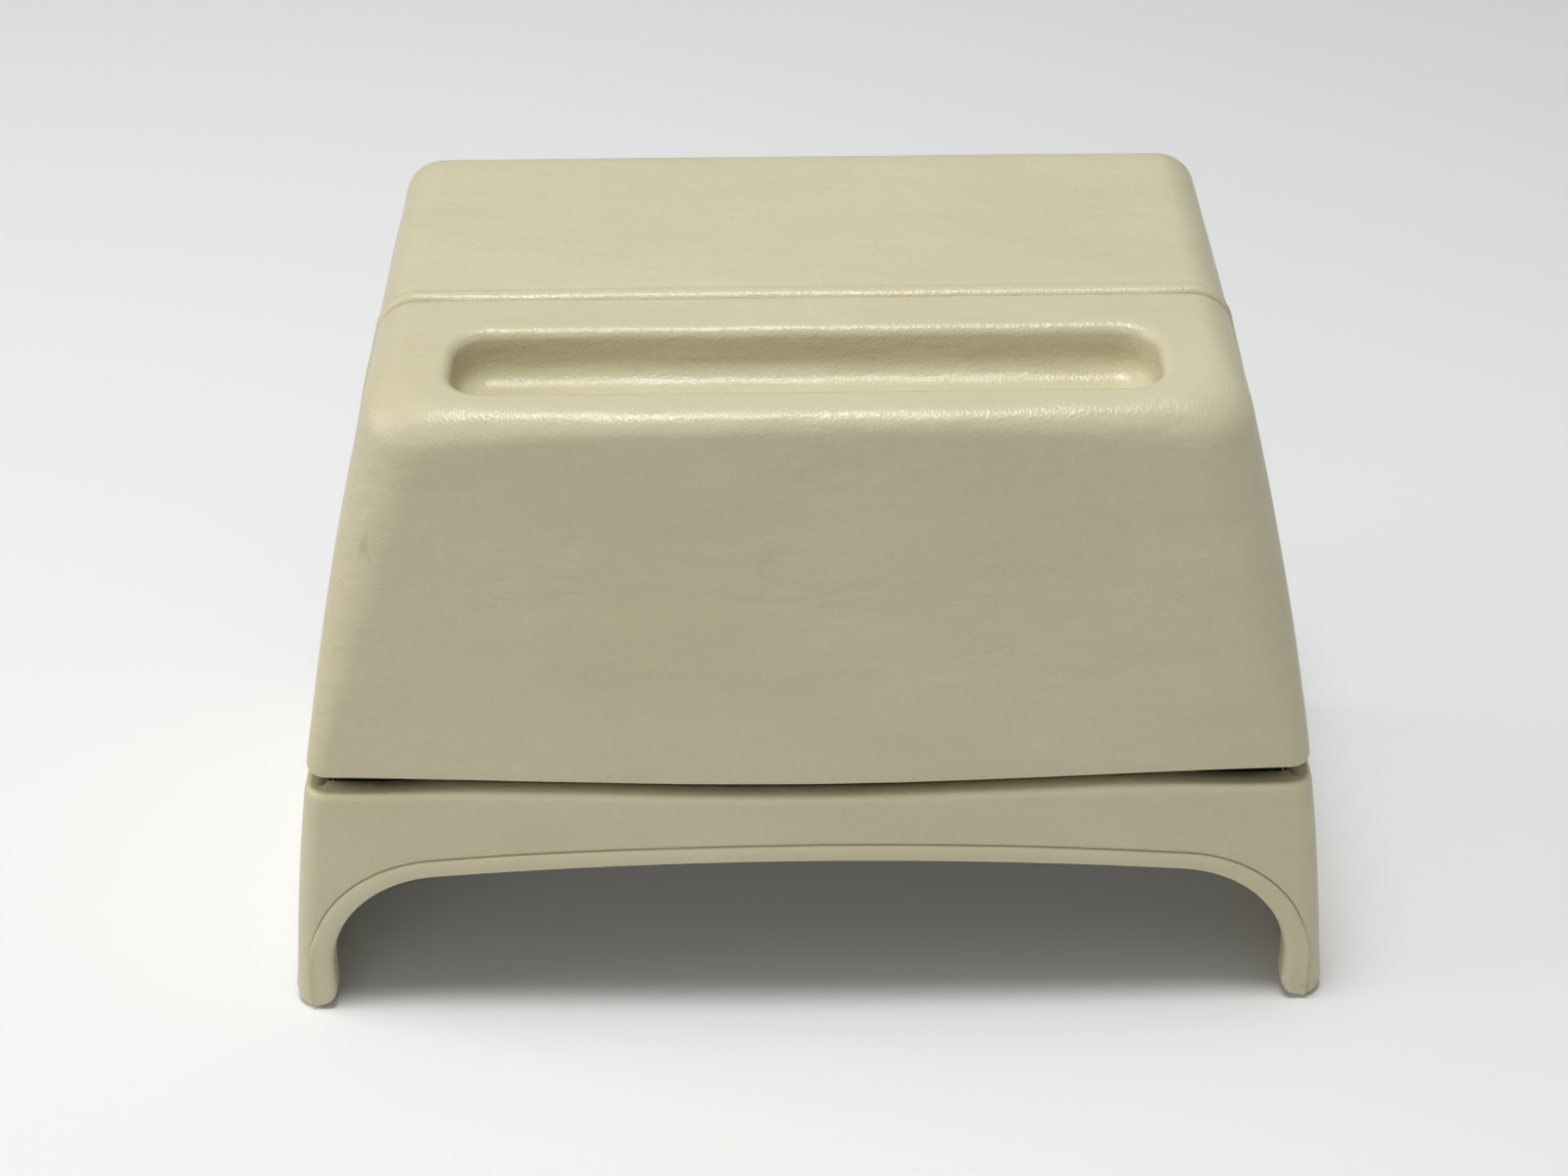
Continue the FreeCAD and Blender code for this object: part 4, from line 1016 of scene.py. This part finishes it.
for node, axis in (("cradle_screws", 1), ("bracket_rivets", 0), ("travel_stop_pins", 0)):
    for centre, sign, end, length, head in head_places(node, axis):
        print(node, sign, "end", round(end / MM, 2), "length", round(length / MM, 2), "head", round(head / MM, 2))

# %% The fastener and its tree
def fastener(name, head, height, shank, length, tail=None, recess=False):
    """A fastener whose head seats at the origin and faces +Z."""
    profile = dome(head, height, 0)[::-1] + [(shank, 0)]
    if tail:
        profile += [(shank, -length), (tail[0], -length), (tail[0], -length - 0.6 * tail[1])]
        profile += [(0.8 * tail[0], -length - tail[1]), (0, -length - tail[1])]
    else:
        profile += [(shank, -length + 0.4 * MM), (shank - 0.4 * MM, -length), (0, -length)]
    made = add_piece(name, lathe(profile[::-1]))
    if recess:
        for turn_by in (0, math.pi / 2):
            blade = bmesh.new()
            bmesh.ops.create_cube(blade, size=1)
            for v in blade.verts:
                taper = 1.0 if v.co.z > 0 else 0.45
                v.co.x *= 1.25 * head * taper
                v.co.y *= 0.30 * head
                v.co.z = height * (1.3 if v.co.z > 0 else 0.35)
            bmesh.ops.rotate(blade, verts=blade.verts, cent=(0, 0, 0), matrix=Matrix.Rotation(turn_by, 3, "Z"))
            cutter = add_piece("blade", blade)
            cut = made.modifiers.new("recess", "BOOLEAN")
            cut.object, cut.operation, cut.solver = cutter, "DIFFERENCE", "EXACT"
            apply_modifiers(made)
            bpy.data.objects.remove(cutter)
    return made


class Tree:
    """A Geometry Nodes tree with named inputs, and short ways to add and join its nodes."""

    def __init__(self, name, **inputs):
        self.group = bpy.data.node_groups.new(name, "GeometryNodeTree")
        self.group.interface.new_socket("Geometry", in_out="INPUT", socket_type="NodeSocketGeometry")
        for title, kind in inputs.items():
            self.group.interface.new_socket(title, in_out="INPUT", socket_type="NodeSocket" + kind)
        self.group.interface.new_socket("Geometry", in_out="OUTPUT", socket_type="NodeSocketGeometry")
        self.start = self.node("NodeGroupInput").outputs
        self.end = self.node("NodeGroupOutput").inputs

    def node(self, kind, **values):
        made = self.group.nodes.new(kind)
        for name, value in values.items():
            setattr(made, name, value)
        return made

    def join(self, source, *sockets):
        for socket in sockets:
            self.group.links.new(source, socket)

    def finish(self, instances):
        """Realises the instances and gives them the finish, because the export drops instances."""
        real, paint = self.node("GeometryNodeRealizeInstances"), self.node("GeometryNodeSetMaterial")
        self.join(instances, real.inputs["Geometry"])
        self.join(real.outputs["Geometry"], paint.inputs["Geometry"])
        self.join(self.start["Finish"], paint.inputs["Material"])
        self.join(paint.outputs["Geometry"], self.end["Geometry"])

    def run_on(self, piece, **values):
        """Sets the inputs by their identifiers, and turns the result into the piece's plain mesh."""
        modifier = piece.modifiers.new("tree", "NODES")
        modifier.node_group = self.group
        sockets = [item for item in self.group.interface.items_tree if item.in_out == "INPUT"]
        identifiers = {item.name: item.identifier for item in sockets}
        for name, value in values.items():
            modifier[identifiers[name]] = value
        apply_modifiers(piece)


def placing_tree():
    """Sets one fastener on every point, facing the point's aim, with its own turn."""
    tree = Tree("set_fasteners", Fastener="Object", Size="Float", Seed="Int", Finish="Material")
    join, start = tree.join, tree.start
    part = tree.node("GeometryNodeObjectInfo")
    aim = tree.node("GeometryNodeInputNamedAttribute", data_type="FLOAT_VECTOR")
    aim.inputs["Name"].default_value = "aim"
    align = tree.node("FunctionNodeAlignRotationToVector", axis="Z")
    twist = tree.node("FunctionNodeRandomValue")
    twist.inputs["Max"].default_value = 2 * math.pi
    about_z = tree.node("ShaderNodeCombineXYZ")
    to_rotation = tree.node("FunctionNodeEulerToRotation")
    spin = tree.node("FunctionNodeRotateRotation", rotation_space="LOCAL")
    points = tree.node("GeometryNodeMeshToPoints")
    place = tree.node("GeometryNodeInstanceOnPoints")
    join(start["Fastener"], part.inputs["Object"])
    join(start["Geometry"], points.inputs["Mesh"])
    join(points.outputs["Points"], place.inputs["Points"])
    join(part.outputs["Geometry"], place.inputs["Instance"])
    join(aim.outputs["Attribute"], align.inputs["Vector"])
    join(start["Seed"], twist.inputs["Seed"])
    join(twist.outputs["Value"], about_z.inputs["Z"])
    join(about_z.outputs["Vector"], to_rotation.inputs["Euler"])
    join(align.outputs["Rotation"], spin.inputs["Rotation"])
    join(to_rotation.outputs["Rotation"], spin.inputs["Rotate By"])
    join(spin.outputs["Rotation"], place.inputs["Rotation"])
    join(start["Size"], place.inputs["Scale"])
    tree.finish(place.outputs["Instances"])
    return tree


set_fasteners = placing_tree()


def set_on(name, node, axis, part, height, body, slot, seed):
    """The fasteners of one CAD node, as one plain mesh."""
    aims, spots = [], []
    for centre, sign, end, *_ in head_places(node, axis):
        spot = centre.copy()
        spot[axis] = end - sign * height
        spots.append(tuple(spot))
        aims.append([sign if i == axis else 0 for i in range(3)])
    piece = add_piece(name)
    piece.data.from_pydata(spots, [], [])
    attribute = piece.data.attributes.new("aim", "FLOAT_VECTOR", "POINT")
    attribute.data.foreach_set("vector", np.array(aims, np.float32).ravel())
    set_fasteners.run_on(piece, Fastener=part, Size=1.0, Seed=seed, Finish=finishes[slot].paint)
    smooth_by_angle(piece)
    return settle(piece, body, slot, node)


def smooth_by_angle(piece, degrees=35):
    piece.data.shade_smooth()
    piece.data.set_sharp_from_angle(angle=math.radians(degrees))


# %% Set every fastener
SHANK_SCREW, SHANK_RIVET = 1.3 * MM, 1.5 * MM
kinds = [
    ("cradle_screw_set", "cradle_screws", 1, "tilting_bin", "plated_steel", 1.6, None, True),
    ("top_screw_set", "housing_top_screws", 2, "surround", "plated_steel", 1.6, None, True),
    ("floor_screw_set", "housing_floor_screws", 2, "surround", "plated_steel", 1.6, None, True),
    ("bracket_rivet_set", "bracket_rivets", 0, "surround", "bright_steel", 0.9, 0.9, False),
    ("spring_rivet_set", "drag_spring_rivets", 1, "surround", "bright_steel", 0.9, 0.9, False),
    ("stop_pin_set", "travel_stop_pins", 0, "surround", "bright_steel", 0.9, None, False),
    ("pan_clip_rivet_set", "pan_clip_rivet", 2, "tilting_bin", "bright_steel", 0.9, 0.9, False),
]
for seed, (name, node, axis, body, slot, height, tail, recess) in enumerate(kinds):
    _, _, _, length, head = head_places(node, axis)[0]
    height = height * MM
    foot = (head, tail * MM) if tail else None
    reach = length - height - (foot[1] if foot else 0)
    shank = SHANK_SCREW if recess else SHANK_RIVET
    part = fastener(name + "_pattern", head, height, shank, reach, foot, recess)
    set_on(name, node, axis, part, height, body, slot, seed)
    bpy.data.objects.remove(part)

# %% [markdown]
# ## Edges of the works
#
# The mouldings, the ash pan, the brackets and the springs already have their true shape. What they lack is the small
# edge radius that real parts have, which is where light catches. A merged copy gets it from a Bevel modifier, limited
# by angle, and the copy stands for its CAD node.

# %% Softened copies
def soften_edges(piece, width, angle=30):
    piece.data.shade_smooth()
    bevel = piece.modifiers.new("edges", "BEVEL")
    bevel.width, bevel.segments = width, 2
    bevel.limit_method, bevel.angle_limit = "ANGLE", math.radians(angle)
    bevel.harden_normals = True
    apply_modifiers(piece)


def softened(name, node, width, body, slot, angle=32):
    work = bmesh.new()
    work.from_mesh(frame["nodes"][node].data)
    bmesh.ops.remove_doubles(work, verts=work.verts, dist=0.002 * MM)
    bmesh.ops.dissolve_limit(work, angle_limit=math.radians(1.0), verts=work.verts, edges=work.edges)
    piece = add_piece(name, work)
    soften_edges(piece, width * MM, angle)
    finishes[slot].put(piece)
    return settle(piece, body, slot, node)


works = [
    ("housing", "bin_housing", 0.35, "surround", "black_moulding"),
    ("cradle", "bin_cradle", 0.3, "tilting_bin", "black_moulding"),
    ("pan", "ash_pan", 0.18, "tilting_bin", "pressed_steel"),
    ("snuffer", "snuffer_bar", 0.2, "tilting_bin", "pressed_steel"),
    ("pan_spring_clip", "pan_clip", 0.1, "tilting_bin", "spring_steel"),
    ("left_bracket", "left_mounting_bracket", 0.3, "surround", "plated_steel"),
    ("right_bracket", "right_mounting_bracket", 0.3, "surround", "plated_steel"),
    ("left_bush", "left_pivot_bush", 0.15, "surround", "nylon"),
    ("right_bush", "right_pivot_bush", 0.15, "surround", "nylon"),
    ("left_pin", "left_pivot_pin", 0.2, "tilting_bin", "bright_steel"),
    ("right_pin", "right_pivot_pin", 0.2, "tilting_bin", "bright_steel"),
    ("pin_clips", "pivot_clips", 0.12, "tilting_bin", "spring_steel"),
    ("tension_spring_strip", "drag_spring", 0.1, "surround", "spring_steel"),
    ("buffers", "rest_buffers", 0.5, "surround", "black_rubber"),
]
for piece in works:
    softened(*piece)

# %% [markdown]
# ## Ribs on the housing's back
#
# A moulded back wall this wide is ribbed, or it would bow as it cools. The ribs are one row of equal fins with a
# little draft, which Geometry Nodes repeat along a line. The wall's back is where the mounting brackets begin.

# %% Ribs
def rib_tree():
    """Equal fins on a line along X: each is a block that narrows towards its free edge."""
    sizes = dict(Spread="Float", Thickness="Float", Depth="Float", Height="Float", Draft="Float")
    tree = Tree("ribs", **sizes, Count="Int", Start="Vector", Finish="Material")
    join, start = tree.join, tree.start
    line = tree.node("GeometryNodeMeshLine", mode="END_POINTS")
    first, last = (tree.node("ShaderNodeVectorMath", operation=kind) for kind in ("SUBTRACT", "ADD"))
    halve, slope, taper = (tree.node("ShaderNodeMath", operation="MULTIPLY") for _ in range(3))
    halve.inputs[1].default_value = 0.5
    half_spread, size, side = (tree.node("ShaderNodeCombineXYZ") for _ in range(3))
    block = tree.node("GeometryNodeMeshCube")
    spot, split = tree.node("GeometryNodeInputPosition"), tree.node("ShaderNodeSeparateXYZ")
    narrow, place = tree.node("GeometryNodeSetPosition"), tree.node("GeometryNodeInstanceOnPoints")
    join(start["Spread"], halve.inputs[0])
    join(halve.outputs[0], half_spread.inputs["X"])
    join(start["Start"], first.inputs[0], last.inputs[0])
    join(half_spread.outputs["Vector"], first.inputs[1], last.inputs[1])
    join(start["Count"], line.inputs["Count"])
    join(first.outputs["Vector"], line.inputs["Start Location"])
    join(last.outputs["Vector"], line.inputs["Offset"])
    for name, axis in (("Thickness", "X"), ("Depth", "Y"), ("Height", "Z")):
        join(start[name], size.inputs[axis])
        block.inputs["Vertices " + axis].default_value = 3
    join(size.outputs["Vector"], block.inputs["Size"])
    join(block.outputs["Mesh"], narrow.inputs["Geometry"])
    join(spot.outputs["Position"], split.inputs["Vector"])
    join(split.outputs["X"], slope.inputs[0])
    join(start["Draft"], slope.inputs[1])
    join(slope.outputs[0], taper.inputs[0])
    join(split.outputs["Y"], taper.inputs[1])
    join(taper.outputs[0], side.inputs["X"])
    join(side.outputs["Vector"], narrow.inputs["Offset"])
    join(line.outputs["Mesh"], place.inputs["Points"])
    join(narrow.outputs["Geometry"], place.inputs["Instance"])
    tree.finish(place.outputs["Instances"])
    return tree


def housing_ribs():
    wall_back, rib_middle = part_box("left_mounting_bracket")[0].y, 63 * MM
    thickness, depth, height, root = 1.4 * MM, 3.0 * MM, 45 * MM, 0.1 * MM
    piece = add_piece("housing_ribs")
    rib_tree().run_on(piece, Spread=66 * MM, Thickness=thickness, Depth=depth, Height=height, Draft=-120.0, Count=4,
                      Start=(0, wall_back + depth / 2 - root, rib_middle), Finish=finishes["black_moulding"].paint)
    soften_edges(piece, 0.3 * MM)
    return settle(piece, "surround", "black_moulding")


housing_ribs()

# %% [markdown]
# ## The mouldings under the skins
#
# The frame and the carrier are the stiff plastic that the skins wrap. The skins here are softer than the CAD's at the
# corners, so each moulding's copy is first drawn in wherever it would come through its skin. The nearest point of the
# skin tells how far, which works for any shape and needs no measured corners.

# %% Mouldings tucked under their skins
def tuck_under(work, outside, cover):
    """Draws a mesh in until it lies at least that far under a skin's outer side."""
    moved = 0
    for v in work.verts:
        spot, normal, _, apart = outside.find_nearest(v.co, 4 * MM)
        if spot is None or v.co.y > back - 2 * MM:
            continue
        depth = (spot - v.co).dot(normal)
        if -2.5 * MM < depth < cover and apart < 2.6 * MM and normal.dot(v.normal) > 0.6:
            v.co -= normal * (cover - depth)
            moved += 1
    return moved


def tucked_moulding(name, node, outside, body):
    work = bmesh.new()
    work.from_mesh(frame["nodes"][node].data)
    bmesh.ops.remove_doubles(work, verts=work.verts, dist=0.002 * MM)
    for _ in range(5):
        long_edges = [e for e in work.edges if e.calc_length() > 4 * MM]
        bmesh.ops.subdivide_edges(work, edges=long_edges, cuts=1)
        bmesh.ops.triangulate(work, faces=[f for f in work.faces if len(f.verts) > 4])
    for v in work.verts:
        v.co = round_feet(v.co)
    work.normal_update()
    moved = tuck_under(work, outside, SKIN + 0.1 * MM)
    piece = add_piece(name, work)
    smooth_by_angle(piece, 30)
    finishes["cream_moulding"].put(piece)
    print(moved, "points drawn in:")
    return settle(piece, body, "cream_moulding", node)


tucked_moulding("frame_moulding", "surround_frame", surround_outside, "surround")
tucked_moulding("carrier_moulding", "front_carrier", front_outside, "tilting_bin")
